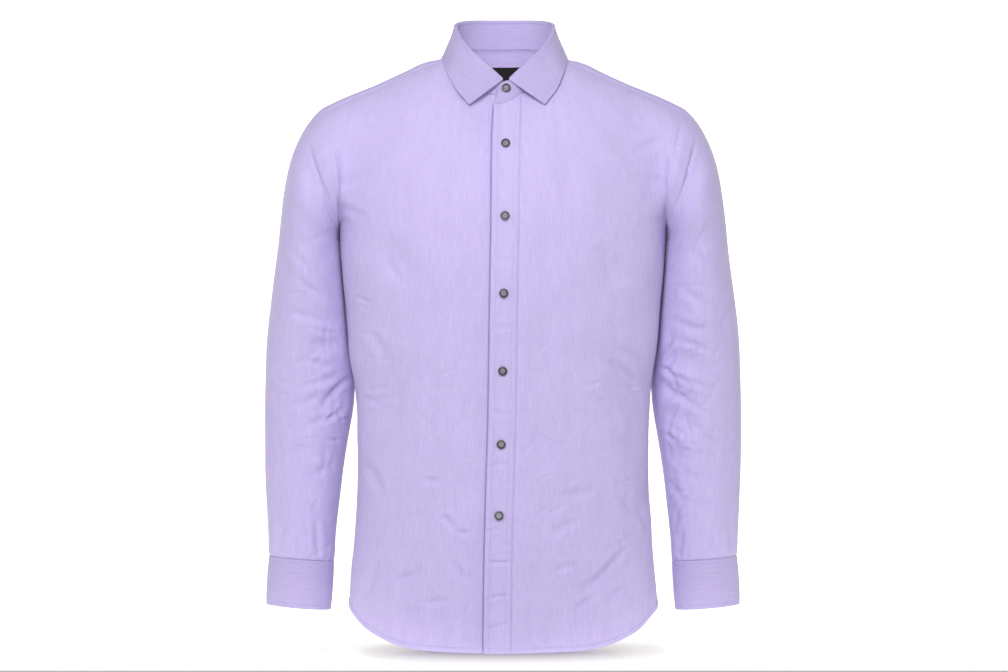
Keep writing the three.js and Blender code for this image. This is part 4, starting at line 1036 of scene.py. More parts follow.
def mixed_colour(tree, factor, a, b, blend_type="MIX"):
    node = add_node(tree, "ShaderNodeMix", {"Factor": factor}, data_type="RGBA",
                    blend_type=blend_type)
    tree.links.new(a, node.inputs[6])
    tree.links.new(b, node.inputs[7])
    return node.outputs[2]


YARN_PITCH = 0.95  # of the weave; the real yarns lie 0.3 mm apart, too fine to show


def yarn_colour(tree, weave, yarns, light, middle, deep):
    """Streaks of the two yarns along the warp, with slubs, a faint weft and soft clouds."""
    warp = tint(tree, yarns, linear(deep), linear(light), 0.24, 0.76)
    slubs = streak(tree, weave, 2.6, 15, 3.0)
    slubby = tint(tree, slubs, linear(middle), linear(light), 0.3, 0.8)
    shade = 0.87
    for wide, long, detail, share in ((13, 200, 1.0, 0.08), (17, 1.25, 2.0, 0.13),
                                      (60, 75, 3.0, 0.05)):
        noise = maths(tree, "MULTIPLY", streak(tree, weave, wide, long, detail), share)
        shade = maths(tree, "ADD", noise, shade)
    return mixed_colour(tree, 1.0, mixed_colour(tree, 0.42, warp, slubby), shade, "MULTIPLY")


def yarn_bump(tree, weave, yarns):
    """Threads that stand out of the weave, on cloth that is a little crumpled."""
    place = add_node(tree, "ShaderNodeTexCoord").outputs["Object"]
    crumple = add_node(tree, "ShaderNodeTexNoise", {
        "Vector": place, "Scale": 1 / (26 * MM), "Detail": 3.0, "Roughness": 0.55}).outputs["Fac"]
    spread = add_node(tree, "ShaderNodeMapping", {
        "Vector": weave, "Scale": (1 / (YARN_PITCH * MM), 1 / (YARN_PITCH * MM), 1)})
    threads = add_node(tree, "ShaderNodeTexVoronoi", {
        "Vector": spread.outputs["Vector"], "Scale": 1.0, "Randomness": 0.35},
        voronoi_dimensions="2D").outputs["Distance"]
    fine = add_node(tree, "ShaderNodeBump", {
        "Strength": 0.5, "Distance": 0.16 * MM,
        "Height": maths(tree, "ADD", maths(tree, "MULTIPLY", threads, -0.8), yarns)})
    soft = add_node(tree, "ShaderNodeBump", {
        "Strength": 0.6, "Distance": 2.4 * MM, "Height": crumple,
        "Normal": fine.outputs["Normal"]})
    return soft.outputs["Normal"]


def shirting(name, light, middle, deep):
    """End-on-end cotton, plain woven from a lavender and a paler yarn, washed and pressed. It gives
    the eye fine slubby streaks along the warp, a fainter weft, and no gloss."""
    material, tree, shader = new_material(
        name, Roughness=0.86, Sheen_Weight=0.18, Sheen_Roughness=0.5, Specular_IOR_Level=0.28)
    weave = add_node(tree, "ShaderNodeUVMap", uv_map="weave").outputs["UV"]
    yarns = streak(tree, weave, 1.2, 26)
    tree.links.new(yarn_colour(tree, weave, yarns, light, middle, deep), shader.inputs["Base Color"])
    tree.links.new(yarn_bump(tree, weave, yarns), shader.inputs["Normal"])
    return material


def sewing_thread():
    """Spun polyester thread in the cloth's own colour. It catches a little more light."""
    material, tree, shader = new_material("sewing_thread", Roughness=0.6, Sheen_Weight=0.1)
    place = add_node(tree, "ShaderNodeTexCoord").outputs["Object"]
    twist = add_node(tree, "ShaderNodeTexNoise", {"Vector": place, "Scale": 1 / (0.5 * MM)})
    colour = tint(tree, twist.outputs["Fac"], linear("#9C8ACB"), linear("#C9BDEB"))
    tree.links.new(colour, shader.inputs["Base Color"])
    return material


def smoke_resin(name, dark, pale):
    """Cast polyester resin, tumbled and polished: smoky grey with paler clouds, and glossy. A paler
    copy, for the buttons' dished middles, is painted light, as if shining through thinner resin."""
    material, tree, shader = new_material(name, Roughness=0.38, IOR=1.54, Coat_Weight=0.15,
                                          Coat_Roughness=0.25)
    place = add_node(tree, "ShaderNodeTexCoord").outputs["Object"]
    clouds = add_node(tree, "ShaderNodeTexNoise", {
        "Vector": place, "Scale": 1 / (5 * MM), "Detail": 4.0, "Distortion": 1.4})
    colour = tint(tree, clouds.outputs["Fac"], linear(dark), linear(pale), 0.35, 0.7)
    tree.links.new(colour, shader.inputs["Base Color"])
    return material


def button_thread():
    """Waxed cotton thread that holds a button: pale grey, slightly glossy."""
    material, tree, shader = new_material("button_thread", Roughness=0.55)
    place = add_node(tree, "ShaderNodeTexCoord").outputs["Object"]
    twist = add_node(tree, "ShaderNodeTexNoise", {"Vector": place, "Scale": 1 / (0.4 * MM)})
    colour = tint(tree, twist.outputs["Fac"], linear("#77747F"), linear("#BDB9C8"))
    tree.links.new(colour, shader.inputs["Base Color"])
    return material


def damask_label():
    """A black woven satin label: dense floats with a faint sheen along the weft."""
    material, tree, shader = new_material("black_woven_satin", Roughness=0.6, Sheen_Weight=0.04,
                                          Specular_IOR_Level=0.2)
    weave = add_node(tree, "ShaderNodeUVMap", uv_map="weave").outputs["UV"]
    floats = streak(tree, weave, 0.7, 5)
    tree.links.new(tint(tree, floats, linear("#08080A"), linear("#18181C")),
                   shader.inputs["Base Color"])
    bump = add_node(tree, "ShaderNodeBump", {"Strength": 0.4, "Distance": 0.1 * MM,
                                             "Height": floats})
    tree.links.new(bump.outputs["Normal"], shader.inputs["Normal"])
    return material


GLOW_START, GLOW_FULL = -0.165, -0.13  # from front to back, in metres
PAINTED_SHADOW = SimpleNamespace(half_x=0.55, half_y=0.27, y=0.12)  # painted shadow: the floor below the shirt, where the board's glow is turned down


def studio_floor():
    """White board that glows though it is no lamp. It is grey in front, where it does not glow, and
    glows from just before the shirt back to the backdrop. Its glow is turned down below the shirt as
    a painted shadow.
    It keeps the ground pale, and lights the shirt's front little from below, so that creases show."""
    material, tree, shader = new_material("glowing_board_painted_shadow", Roughness=0.9,
                                          Emission_Color=linear("#FFFFF8"))
    place = add_node(tree, "ShaderNodeTexCoord").outputs["Object"]
    depth = add_node(tree, "ShaderNodeSeparateXYZ", {"Vector": place}).outputs["Y"]
    # The board glows though it is no lamp, from just before the shirt back to the backdrop, and is
    # grey where it does not
    glow = add_node(tree, "ShaderNodeMapRange", {
        "Value": depth, "From Min": GLOW_START, "From Max": GLOW_FULL, "To Min": 0.0, "To Max": 0.9})
    tree.links.new(tint(tree, glow.outputs["Result"], linear("#A9A9A6"), linear("#E9E8E2")),
                   shader.inputs["Base Color"])
    # Painted shadow: the glow is turned down in a patch below the shirt
    below = add_node(tree, "ShaderNodeMapping", {
        "Vector": place, "Scale": (1 / PAINTED_SHADOW.half_x, 1 / PAINTED_SHADOW.half_y, 0),
        "Location": (0, -PAINTED_SHADOW.y / PAINTED_SHADOW.half_y, 0)})
    painted_shadow_spot = add_node(tree, "ShaderNodeTexGradient", {"Vector": below.outputs["Vector"]},
                      gradient_type="QUADRATIC_SPHERE")
    outside_painted_shadow = maths(tree, "SUBTRACT", 1.0, maths(tree, "MULTIPLY", painted_shadow_spot.outputs["Fac"], 1.3))
    strength = maths(tree, "MULTIPLY", glow.outputs["Result"], maths(tree, "MAXIMUM", outside_painted_shadow, 0.2))
    tree.links.new(strength, shader.inputs["Emission Strength"])
    return material


SHIRTING = shirting("end_on_end_shirting", "#C8BDE6", "#BBAEDE", "#B1A3D7")
BAND_SHIRTING = shirting("interlined_shirting", "#BCB1D9", "#AFA3D2", "#A698CB")
THREAD = sewing_thread()
RESIN = smoke_resin("smoke_polyester_resin", "#1D1D22", "#44434B")
# Paler resin for the dished middles of the buttons: painted light, as if shining through the thinner
# resin
PAINTED_LIGHT_RESIN = smoke_resin("thin_resin_painted_light", "#5E5C66", "#8F8D97")
BUTTON_THREAD = button_thread()
LABEL = damask_label()


# How far each line of stitches runs inside its edge
HEM_INSET, PLACKET_INSET, BAND_INSET = 6.2, 6.2, 5.5
ARMHOLE_INSET, SHOULDER_INSET, SLEEVE_PLACKET_INSET = 8.5, 8.2, 2.2
YOKE_INSET, STAND_FOOT_INSET, STAND_TOP_INSET = 1.9, 1.8, 3.5


# The panels

def border(step, count=9, reach=10.0):
    """Places for a stitched border, where one of the part's own steps is this long."""
    return np.linspace(reach / count, reach, count) / step


BODY_ROWS = places((CHEST_ROWS, 192), (TOP_ROWS, 60), near_low=border(44),
                   near_high=border(17, 9, 12))
BACK_BODY_ROWS = places((CHEST_ROWS, 144), (CHEST_ROWS + BACK_ROWS, 42), near_low=border(44),
                        near_high=border(18, 4, 6))
BESIDE_PLACKET = [*np.linspace(2.36, 2.72, 11), *np.linspace(3.03, 3.3, 8)]
FRONT_PLACES = places((STRIP_COLUMNS, 14), (SIDE_COLUMNS, 86), near_low=BESIDE_PLACKET,
                      near_high=border(12, 5, 10))
BACK_PLACES = places((BACK_COLUMNS, 126), near_low=border(14, 4, 8), near_high=border(14, 4, 8))
YOKE_PLACES = places((YOKE_ROWS, 42), near_low=border(22, 4, 6), near_high=border(22, 4, 6))


def clear_of_edges(piece, reach, *edges):
    """Fades to nothing towards these edges, so that both sides of a seam still meet."""
    keep = np.ones(piece.points.shape[:2])
    for edge in edges:
        keep = keep * blend(0, reach, from_edge(piece, edge))
    return keep


def hem_relief(piece):
    """The narrow hem: turned twice, stitched, and a little wavy where it was sewn on the curve."""
    distance = from_edge(piece, "low")
    lengthwise = arc(piece.points, 1)
    roping = 0.8 * np.sin(lengthwise / 17 + 2 * np.sin(lengthwise / 61)) * np.exp(-distance / 26)
    return (step_height(distance, HEM_INSET, 0.7, 0.35) + roping
            + pucker(np.abs(distance - HEM_INSET), lengthwise, 5, 0.10))


def press_beside_placket(piece, upper):
    """Presses a front down along the placket, so that the placket's edges show."""
    fold = np.interp(piece.points[..., 2], PLACKET["z"], PLACKET["edge"])
    beside = piece.points[..., 0] - fold
    if upper:
        below_neck = blend(2, 14, from_edge(piece, "high"))
        raise_by(piece, -1.1 * below_neck * np.exp(-((beside - PLACKET_WIDTH - 1.1) / 1.2) ** 2))
    else:
        below_leaf = blend(-64, -76, piece.points[..., 2])
        raise_by(piece, -3.2 * below_leaf * np.exp(-((beside + 0.7) / 1.2) ** 2))


def front(upper):
    base = grid_of(TOP_ROWS, SIDE_COLUMNS, front_panel(upper))
    if not upper:
        base = base * point(-1, 1, 1)
    piece = cloth(base, BODY_ROWS, FRONT_PLACES, 1 if upper else -1, grain_row=CHEST_ROWS)
    keep = clear_of_edges(piece, 14, "high") * clear_of_edges(piece, 8, "last")
    keep = keep * blend(STRIP_COLUMNS, STRIP_COLUMNS + 1.5, piece.columns)[None, :]
    raise_by(piece, -keep * (body_creases(piece) + drape(piece, 1.8)))
    side = clear_of_edges(piece, 6, "last")
    seam = from_edge(piece, "last")
    above_armpit = (piece.rows > CHEST_ROWS)[:, None]
    felled = np.where(above_armpit, step_height(seam, ARMHOLE_INSET, 0.35, 0.25) * side, 0)
    raise_by(piece, hem_relief(piece) * side + felled
             + pucker(seam, arc(piece.points, 0), 6, 0.14) * side)
    press_beside_placket(piece, upper)
    shoulder = (piece.columns > NECK_COLUMNS + 0.5)[None, :]
    turned = np.where(shoulder, step_height(from_edge(piece, "high"), 9, 0.45, 1.3) * side, 0)
    raise_by(piece, turned - 0.4 * np.where(above_armpit, np.exp(-seam / 1.6), 0))
    return piece


def back():
    piece = cloth(grid_of(CHEST_ROWS + BACK_ROWS, BACK_COLUMNS, back_point), BACK_BODY_ROWS,
                  BACK_PLACES, 1, grain_row=CHEST_ROWS, grain_column=BACK_COLUMNS / 2)
    keep = clear_of_edges(piece, 14, "high", "first", "last")
    raise_by(piece, -keep * (body_creases(piece) + drape(piece, 1.8)))
    sides = clear_of_edges(piece, 6, "first", "last")
    raise_by(piece, hem_relief(piece) * sides)
    return piece


def yoke():
    piece = cloth(grid_of(YOKE_ROWS, BACK_COLUMNS, yoke_point), YOKE_PLACES, BACK_PLACES, 1,
                  grain_column=BACK_COLUMNS / 2, crosswise=True)
    keep = clear_of_edges(piece, 14, "low", "high", "first", "last")
    raise_by(piece, -keep * drape(piece, 1.0))
    relief = np.zeros(piece.points.shape[:2])
    for edge in ("low", "high"):
        distance = from_edge(piece, edge)
        relief += step_height(distance, 2.0, 0.0, 0.3) + 0.7 * (1 - blend(7, 16, distance))
        relief -= 0.8 * np.exp(-distance / 0.8)
        relief += pucker(distance, arc(piece.points, 1), 6, 0.12)
    raise_by(piece, relief * clear_of_edges(piece, 3, "first", "last"))
    return piece


def sleeve(side):
    base = grid_of(SLEEVE_ROWS, SLEEVE_COLUMNS, sleeve_point) * point(side, 1, 1)
    rows = places((CAP_ROWS, 48), (SLEEVE_ROWS, 174), near_low=border(20, 4, 8))
    columns = places((SLEEVE_COLUMNS, 161))
    middle = np.interp(0.5, ROUND_SHARE, np.arange(SLEEVE_COLUMNS + 1))
    piece = cloth(base, rows, columns, -side, closed=True, grain_row=CAP_ROWS, grain_column=middle)
    keep = clear_of_edges(piece, 8, "low", "high")
    calm = 1 - 0.8 * piece.out[..., 0] ** 2
    raise_by(piece, -keep * (sleeve_creases(piece, side) + drape(piece, 1.6) * calm))
    seam = from_edge(piece, "low")
    lengthwise = arc(piece.points, 1)
    gathers = pucker(from_edge(piece, "high"), lengthwise, 14, 0.35)
    relief = pucker(seam, lengthwise, 7, 0.16) + gathers
    raise_by(piece, relief * clear_of_edges(piece, 4, "low", "high"))
    raise_by(piece, -1.1 * np.exp(-from_edge(piece, "high") / 2.2) - 0.4 * np.exp(-seam / 1.6))
    return piece


front_left, front_right = front(True), front(False)
back_panel, yoke_panel = back(), yoke()
sleeves = {"left": sleeve(1), "right": sleeve(-1)}


# The collar

def neck_footings():
    """The collar stand's foot along the neck seam, from the under end round to the upper end."""
    neck = slice(SIDE_COLUMNS - NECK_COLUMNS, BACK_COLUMNS - (SIDE_COLUMNS - NECK_COLUMNS) + 1)
    under = grid_of(TOP_ROWS, SIDE_COLUMNS, front_panel(False))[-1, :NECK_COLUMNS]
    upper = grid_of(TOP_ROWS, SIDE_COLUMNS, front_panel(True))[-1, :NECK_COLUMNS]
    behind = grid_of(YOKE_ROWS, BACK_COLUMNS, yoke_point)[-1, neck]
    return np.concatenate([under * point(-1, 1, 1), behind[::-1], upper[::-1]])


FOOTINGS = neck_footings()
UPPER_FROM = len(FOOTINGS) - NECK_COLUMNS
STAND_END_ROUND = 13  # length of the rounded upper end
STAND_PEAK_DEG = 4.8  # the stand stays this high between the leaf's two halves


def footing_deg(foot, lap):
    return math.degrees(math.atan2(foot[0] / NECK.half, -(foot[1] + lap - NECK.middle_y) / NECK.deep))


def stand_top(deg, lap):
    angle = math.radians(deg)
    shift = mix(*STAND_SHIFT, min(abs(deg) / 90, 1))
    return point(shift + STAND_TOP.half * math.sin(angle),
                 NECK.middle_y - STAND_TOP.deep * math.cos(angle) - lap,
                 along(COLLAR, "deg", abs(deg), "fold") - FOLD_DROP - FOLD_RADIUS)


def stand_column(place, foot):
    """Foot, top and angle round the neck of the collar stand at a place along it."""
    lap = lap_at(foot[0]) * blend(UPPER_FROM - 1, UPPER_FROM, place)
    deg = footing_deg(foot, lap)
    top = stand_top(deg, lap)
    top[2] = stand_top(math.copysign(max(abs(deg), STAND_PEAK_DEG), deg), lap)[2]
    if place >= UPPER_FROM:
        end = min(max((foot[0] - FOOTINGS[-1][0]) / STAND_END_ROUND, 0), 1)
        rounded = math.sqrt(1 - (1 - end) ** 2)
        top[0] = mix(foot[0], top[0], mix(0.35, 1, blend(0, 1, end)))
        top[2] = mix(mix(foot[2], top[2], 0.35), top[2], rounded)
    elif place < STRIP_COLUMNS:
        top[2] = mix(UNDER_END_Z, top[2], place / STRIP_COLUMNS)
    return foot, top, deg


def collar_stand():
    count = len(FOOTINGS)
    columns = places((count - 4, (count - 4) * 6), (count - 1, 36))
    feet = spline_weights(count, columns) @ FOOTINGS
    lines = [stand_column(place, foot) for place, foot in zip(columns, feet)]
    rows = np.linspace(0, 1, 15)
    points = np.array([[mix(foot, top, t) for foot, top, _ in lines] for t in rows])
    piece = piece_of(rows * 3, columns, points, -1)
    seam = from_edge(piece, "low")
    raise_by(piece, 0.6 * (1 - blend(3, 9, seam)) + pucker(seam, arc(points, 1), 4, 0.08))
    return piece


def body_skin():
    """The shirt's body round the neck, on which the collar leaf settles."""
    vertices, faces = [], []
    for piece in (front_left, front_right, yoke_panel, back_panel):
        rows, columns = piece.points.shape[:2]
        ids = np.arange(rows * columns).reshape(rows, columns) + len(vertices)
        quads = np.stack([ids[:-1, :-1], ids[:-1, 1:], ids[1:, 1:], ids[1:, :-1]], -1).reshape(-1, 4)
        vertices.extend(piece.points.reshape(-1, 3).tolist())
        faces.extend((quads if piece.facing > 0 else quads[:, ::-1]).tolist())
    return BVHTree.FromPolygons(vertices, faces)


BODY_SKIN = body_skin()


def settle(p, lift):
    """Lifts a point off the shirt's body until it stands at least this far out."""
    nearest, normal, _, _ = BODY_SKIN.find_nearest(Vector(p))
    height = (Vector(p) - nearest).dot(normal)
    return p + np.array(normal) * max(0, lift - height)


def over_chest(x, z):
    """How far forward the leaf's edge is where it rests on the chest, seen from the front."""
    nearest, normal, _, _ = BODY_SKIN.ray_cast(Vector((x, -400, z)), Vector((0, 1, 0)))
    if nearest is None:
        return 0
    return nearest.y - (LEAF_LIFT + 1.6) / max(-normal.y, 0.6)


def leaf_point(deg, side, row):
    """The leaf rises from the stand's top, folds over and falls to its edge, row by row."""
    angle = math.radians(deg)
    out = point(math.sin(angle), -math.cos(angle), 0)
    lap = LAP * (1 - blend(5, 50, abs(deg))) if side > 0 else 0
    hub = stand_top(deg, lap) + out * (FOLD_RADIUS - BAND)
    if row == 0:
        return hub - out * FOLD_RADIUS + point(0, 0, 0.3)
    hub = hub + point(0, 0, FOLD_DROP)
    turn = math.pi * (1 - min(row - 1, LEAF_FOLD_ROWS) / LEAF_FOLD_ROWS)
    start = hub + out * FOLD_RADIUS * math.cos(turn) + point(0, 0, FOLD_RADIUS * math.sin(turn))
    if row <= LEAF_FOLD_ROWS + 1:
        return start
    end = point_along(LEAF, "deg", abs(deg))
    end[0] = side * end[0] + mix(*LEAF_SHIFT, min(abs(deg) / 90, 1))
    end[1] = mix(over_chest(end[0], end[2]), end[1], blend(50, 80, abs(deg)))
    chord = end - start
    length = np.linalg.norm(chord)
    down = (point(0, 0, -1) + 0.15 * out) * 0.8 * length
    leaving = mix(chord, down, blend(0, 70, abs(deg)))
    t = (row - LEAF_FOLD_ROWS - 1) / LEAF_FALL_ROWS
    return hermite(start, leaving, end, chord * 1.05, t)


def evened(values, rounds):
    """Values on a grid, each drawn towards its neighbours a number of times."""
    for _ in range(rounds):
        wide = np.pad(values, ((1, 1), (1, 1), (0, 0)), mode="edge")
        values = (wide[:-2, 1:-1] + wide[2:, 1:-1] + wide[1:-1, :-2] + wide[1:-1, 2:]) / 4
    return values


def settled(points):
    """Rests the leaf on the shirt, first softly all over and then wherever it is still too near."""
    lifts = np.array([[settle(p, LEAF_LIFT) - p for p in row] for row in points])
    return np.array([[settle(p, LEAF_LIFT - 0.8) for p in row] for row in points + evened(lifts, 12)])


def collar_leaf():
    rows = places((LEAF_FOLD_ROWS + 1, 20), (LEAF_FOLD_ROWS + LEAF_FALL_ROWS + 1, 40),
                  near_high=border(6.5, 8, 9))
    front_degs = LEAF_START_DEG + np.linspace(0, 1, 40) ** 1.6 * 36
    half = np.concatenate([front_degs, np.linspace(front_degs[-1], 180, 66)[1:]])
    stations = [(-deg, -1) for deg in half] + [(deg, 1) for deg in half[-2::-1]]
    points = np.array([[leaf_point(deg, side, row) for deg, side in stations] for row in rows])
    falling = rows > LEAF_FOLD_ROWS + 1
    points[falling] = settled(points[falling])
    piece = piece_of(rows, np.arange(len(stations)), points, 1)
    relief = np.zeros(piece.points.shape[:2])
    for edge in ("high", "first", "last"):
        distance = from_edge(piece, edge)
        relief += stitched(distance, BAND_INSET, 0.32, 1.1)
        relief -= 0.5 * np.exp(-distance / 0.8)
        relief += pucker(distance, arc(piece.points, 1 if edge == "high" else 0), 5, 0.06)
    raise_by(piece, relief)
    return piece


stand = collar_stand()
leaf = collar_leaf()


# Cuffs and plackets

def cuff(side):
    base = grid_of(CUFF_ROWS, CUFF_COLUMNS, cuff_point) * point(side, 1, 1)
    rows = places((CUFF_ROWS, 24), near_low=border(21, 6, 8), near_high=border(21, 8, 9))
    columns = places((CUFF_COLUMNS, 130), near_low=border(11, 6, 8), near_high=border(11, 6, 8))
    piece = cloth(base, rows, columns, -side, crosswise=True)
    lengthwise = arc(piece.points, 1)
    relief = np.zeros(piece.points.shape[:2])
    for edge in ("low", "high", "first", "last"):
        distance = from_edge(piece, edge)
        relief += stitched(distance, BAND_INSET, 0.26, 1.1)
        relief -= 0.4 * np.exp(-distance / 0.8)
    relief += 0.7 * np.sin(np.pi * piece.rows / CUFF_ROWS)[:, None]
    relief += 0.35 * np.sin(lengthwise / 21 + 1.1)
    raise_by(piece, relief)
    return piece


PLACKET_CREASES = table(CREASE_COLUMNS, """
-1 -26 -644 14 -642 1  3.2 1.3
-1 -26 -691 12 -683 3  3.6 1.1
-1 -27 -723 10 -715 -2 3.4 1.0
-1 -24 -606 0  -600 1  3.6 0.8
-1 -22 -525 8  -520 2  5   0.6
-1 -20 -452 10 -458 -2 5   0.5
-1 -14 -166 14 -160 2  5   0.5
-1 -16 -262 12 -268 -2 5   0.5
-1 -18 -356 12 -350 2  5   0.5
""")


def front_placket():
    """The folded band with the buttonholes. Its free edge stands a little off the cloth below."""
    rows = front_left.rows[front_left.rows <= TOP_ROWS - 0.12]
    columns = places((STRIP_COLUMNS, 30), near_low=border(10.7, 5, 7), near_high=border(10.7, 5, 7))
    grid_rows, grid_columns = np.meshgrid(rows, columns, indexing="ij")
    piece = laid_on(front_left, grid_rows, grid_columns, ON_TOP)
    lengthwise = arc(piece.points, 0)
    relief = np.zeros(piece.points.shape[:2])
    for edge in ("first", "last"):
        distance = from_edge(piece, edge)
        relief += stitched(distance, PLACKET_INSET, 0.22, 0.9)
        relief += pucker(np.abs(distance - PLACKET_INSET), lengthwise, 5, 0.13)
    z = piece.points[..., 2]
    gape = 1.3 + 2.4 * blend(-590, -650, z) * (1 - blend(-715, -750, z)) + blend(-130, -80, z)
    relief += gape * (1 - blend(0, 1.2, piece.columns))[None, :]
    raise_by(piece, relief - crease_depth(piece, PLACKET_CREASES))
    return piece


def sleeve_placket(side):
    """The strip along the sleeve's opening, folded to a point at its top."""
    piece = sleeves[side]
    centre = np.interp(CUFF_OPENING_DEG / 360, ROUND_SHARE, np.arange(SLEEVE_COLUMNS + 1))
    length = 5.2
    up = np.unique(np.concatenate([np.linspace(0, length, 60), length - border(27, 8, 14)]))
    width = np.minimum(0.82, 0.02 + (length - up) / 0.5 * 0.82)
    across = np.linspace(-1, 1, 17)
    rows = np.repeat((SLEEVE_ROWS - 0.35 - up[::-1])[:, None], len(across), axis=1)
    columns = centre + width[::-1, None] * across[None, :]
    strip = laid_on(piece, rows, columns, ON_TOP)
    relief = np.zeros(strip.points.shape[:2])
    for edge in ("first", "last"):
        relief += stitched(from_edge(strip, edge), SLEEVE_PLACKET_INSET, 0.25, 0.9)
    raise_by(strip, relief)
    return strip


cuffs = {"left": cuff(1), "right": cuff(-1)}
placket = front_placket()
sleeve_plackets = {"left": sleeve_placket("left"), "right": sleeve_placket("right")}


def neck_label():
    """A bare label inside the yoke, under the back of the neck."""
    rows, columns = np.meshgrid(np.linspace(2.7, 4.65, 17), np.linspace(12, 16, 41), indexing="ij")
    piece = laid_on(yoke_panel, rows, columns, -CLOTH - 1.0)
    piece.facing = -piece.facing
    renew(piece)
    return piece


# The cut of each cloth piece: its width and length in millimetres, the share of that rectangle
# which it fills, and the piece that it hangs on
CUTS = """
front_left           345 765 0.86 yoke
front_right          345 765 0.86 yoke
back                 600 700 0.88 yoke
yoke                 500 165 0.88 collar_stand
sleeve_left          480 620 0.66 yoke
sleeve_right         480 620 0.66 yoke
front_placket        33  700 1.0  front_left
sleeve_placket_left  24  145 0.9  sleeve_left
sleeve_placket_right 24  145 0.9  sleeve_right
collar_stand         430 40  0.85 yoke
collar_leaf          450 75  0.75 collar_stand
cuff_left            265 64  1.0  sleeve_left
cuff_right           265 64  1.0  sleeve_right
neck_label           64  46  1.0  yoke
"""
LABEL_THICKNESS = 0.6
BANDS = ("collar_stand", "collar_leaf", "cuff_left", "cuff_right")
PIECES = {"front_left": front_left, "front_right": front_right, "back": back_panel,
          "yoke": yoke_panel, "front_placket": placket, "collar_stand": stand, "collar_leaf": leaf,
          "neck_label": neck_label()}
for side_name in ("left", "right"):
    PIECES[f"sleeve_{side_name}"] = sleeves[side_name]
    PIECES[f"sleeve_placket_{side_name}"] = sleeve_plackets[side_name]
    PIECES[f"cuff_{side_name}"] = cuffs[side_name]


def finish_of(node):
    """Thickness, material and slot of a cloth piece."""
    if node == "neck_label":
        return LABEL_THICKNESS, LABEL, "label_cloth"
    if node in BANDS:
        return BAND, BAND_SHIRTING, "band_cloth"
    return CLOTH, SHIRTING, "shirt_cloth"


def make_cloth_pieces():
    for row in CUTS.strip().splitlines():
        node, *sizes, carrier = row.split()
        width, length, share = (float(size) for size in sizes)
        thickness, material, slot = finish_of(node)
        made = shell(f"{node}_cloth", PIECES[node], thickness, material)
        finish_piece(made, slot, node)


make_cloth_pieces()


# Sewing

def line_where(piece, edge, inset, wanted):
    """The wanted part of a line at this distance inside an edge."""
    line, out = inset_line(piece, edge, inset)
    return line[wanted], out[wanted]


def make_stitching():
    fronts = (front_left, front_right)
    bound = ("high", "first", "last")
    runs = {
        "stitches_placket": [inset_line(placket, edge, PLACKET_INSET) for edge in ("first", "last")],
        "stitches_hem": [inset_line(piece, "low", HEM_INSET) for piece in (*fronts, back_panel)],
        "stitches_yoke": [inset_line(yoke_panel, edge, YOKE_INSET) for edge in ("low", "high")],
        "stitches_collar": [inset_line(leaf, edge, BAND_INSET) for edge in bound],
        "stitches_stand": [inset_line(stand, "low", STAND_FOOT_INSET),
                           inset_line(stand, "high", STAND_TOP_INSET)],
    }
    for side in ("left", "right"):
        runs[f"stitches_cuff_{side}"] = [
            inset_line(cuffs[side], edge, BAND_INSET) for edge in ("low", *bound)]
        runs[f"stitches_sleeve_placket_{side}"] = [
            inset_line(sleeve_plackets[side], edge, SLEEVE_PLACKET_INSET)
            for edge in ("first", "last")]
    runs["stitches_armholes"] = [
        line_where(piece, "last", ARMHOLE_INSET, piece.rows > CHEST_ROWS) for piece in fronts]
    runs["stitches_shoulders"] = [
        line_where(piece, "high", SHOULDER_INSET, piece.columns > NECK_COLUMNS + 0.5)
        for piece in fronts]
    for name, lines in runs.items():
        finish_piece(stitches(name, lines, THREAD), "shirt_cloth")


make_stitching()


# Buttons

BUTTON = SimpleNamespace(radius=5.7, thick=2.6, rim=1.5, slope=0.8, dish=0.7, hole=0.75,
                         hole_out=1.25)
FRONT_BUTTONS = [(f"button_front_{k}", placket) for k in range(1, 7)]


def select_faces(made, test):
    """In edit mode, selects the faces whose middle and direction pass the test."""
    shape = bmesh.from_edit_mesh(made.data)
    for face in shape.faces:
        face.select_set(bool(test(face.calc_center_median(), face.normal)))
    bmesh.update_edit_mesh(made.data)


def model_button():
    """One button at the origin, its back on z = 0: a rounded rim, a dished face and four holes."""
    bpy.ops.object.select_all(action="DESELECT")
    bpy.ops.mesh.primitive_cylinder_add(
        vertices=48, radius=BUTTON.radius * MM, depth=BUTTON.thick * MM,
        location=(0, 0, BUTTON.thick / 2 * MM))
    made = bpy.context.object
    bpy.ops.object.transform_apply()
    bpy.ops.object.mode_set(mode="EDIT")
    bpy.ops.mesh.select_mode(type="FACE")
    top = BUTTON.thick * MM - 1e-5
    select_faces(made, lambda middle, normal: middle.z > top)
    bpy.ops.mesh.inset(thickness=BUTTON.rim * MM)
    bpy.ops.mesh.inset(thickness=BUTTON.slope * MM)
    bpy.ops.transform.translate(value=(0, 0, -BUTTON.dish * MM))
    bpy.ops.object.mode_set(mode="OBJECT")
    bevel = made.modifiers.new("soft_edges", "BEVEL")
    bevel.width = 0.55 * MM
    bevel.segments = 3
    bevel.angle_limit = math.radians(50)
    bpy.ops.object.modifier_apply(modifier=bevel.name)
    for x, y in ((1, 1), (1, -1), (-1, 1), (-1, -1)):
        cut_hole(made, x * BUTTON.hole_out * MM, y * BUTTON.hole_out * MM)
    smooth(made, 40)
    made.data.materials.clear()
    made.data.materials.append(RESIN)
    made.data.materials.append(PAINTED_LIGHT_RESIN)
    # The dished middle takes the paler resin: painted light, as if shining through it
    middle = (BUTTON.radius - BUTTON.rim - BUTTON.slope) * MM
    for face in made.data.polygons:
        face.material_index = int(math.hypot(face.center.x, face.center.y) < middle
                                  and face.center.z > BUTTON.thick / 2 * MM)
    return made


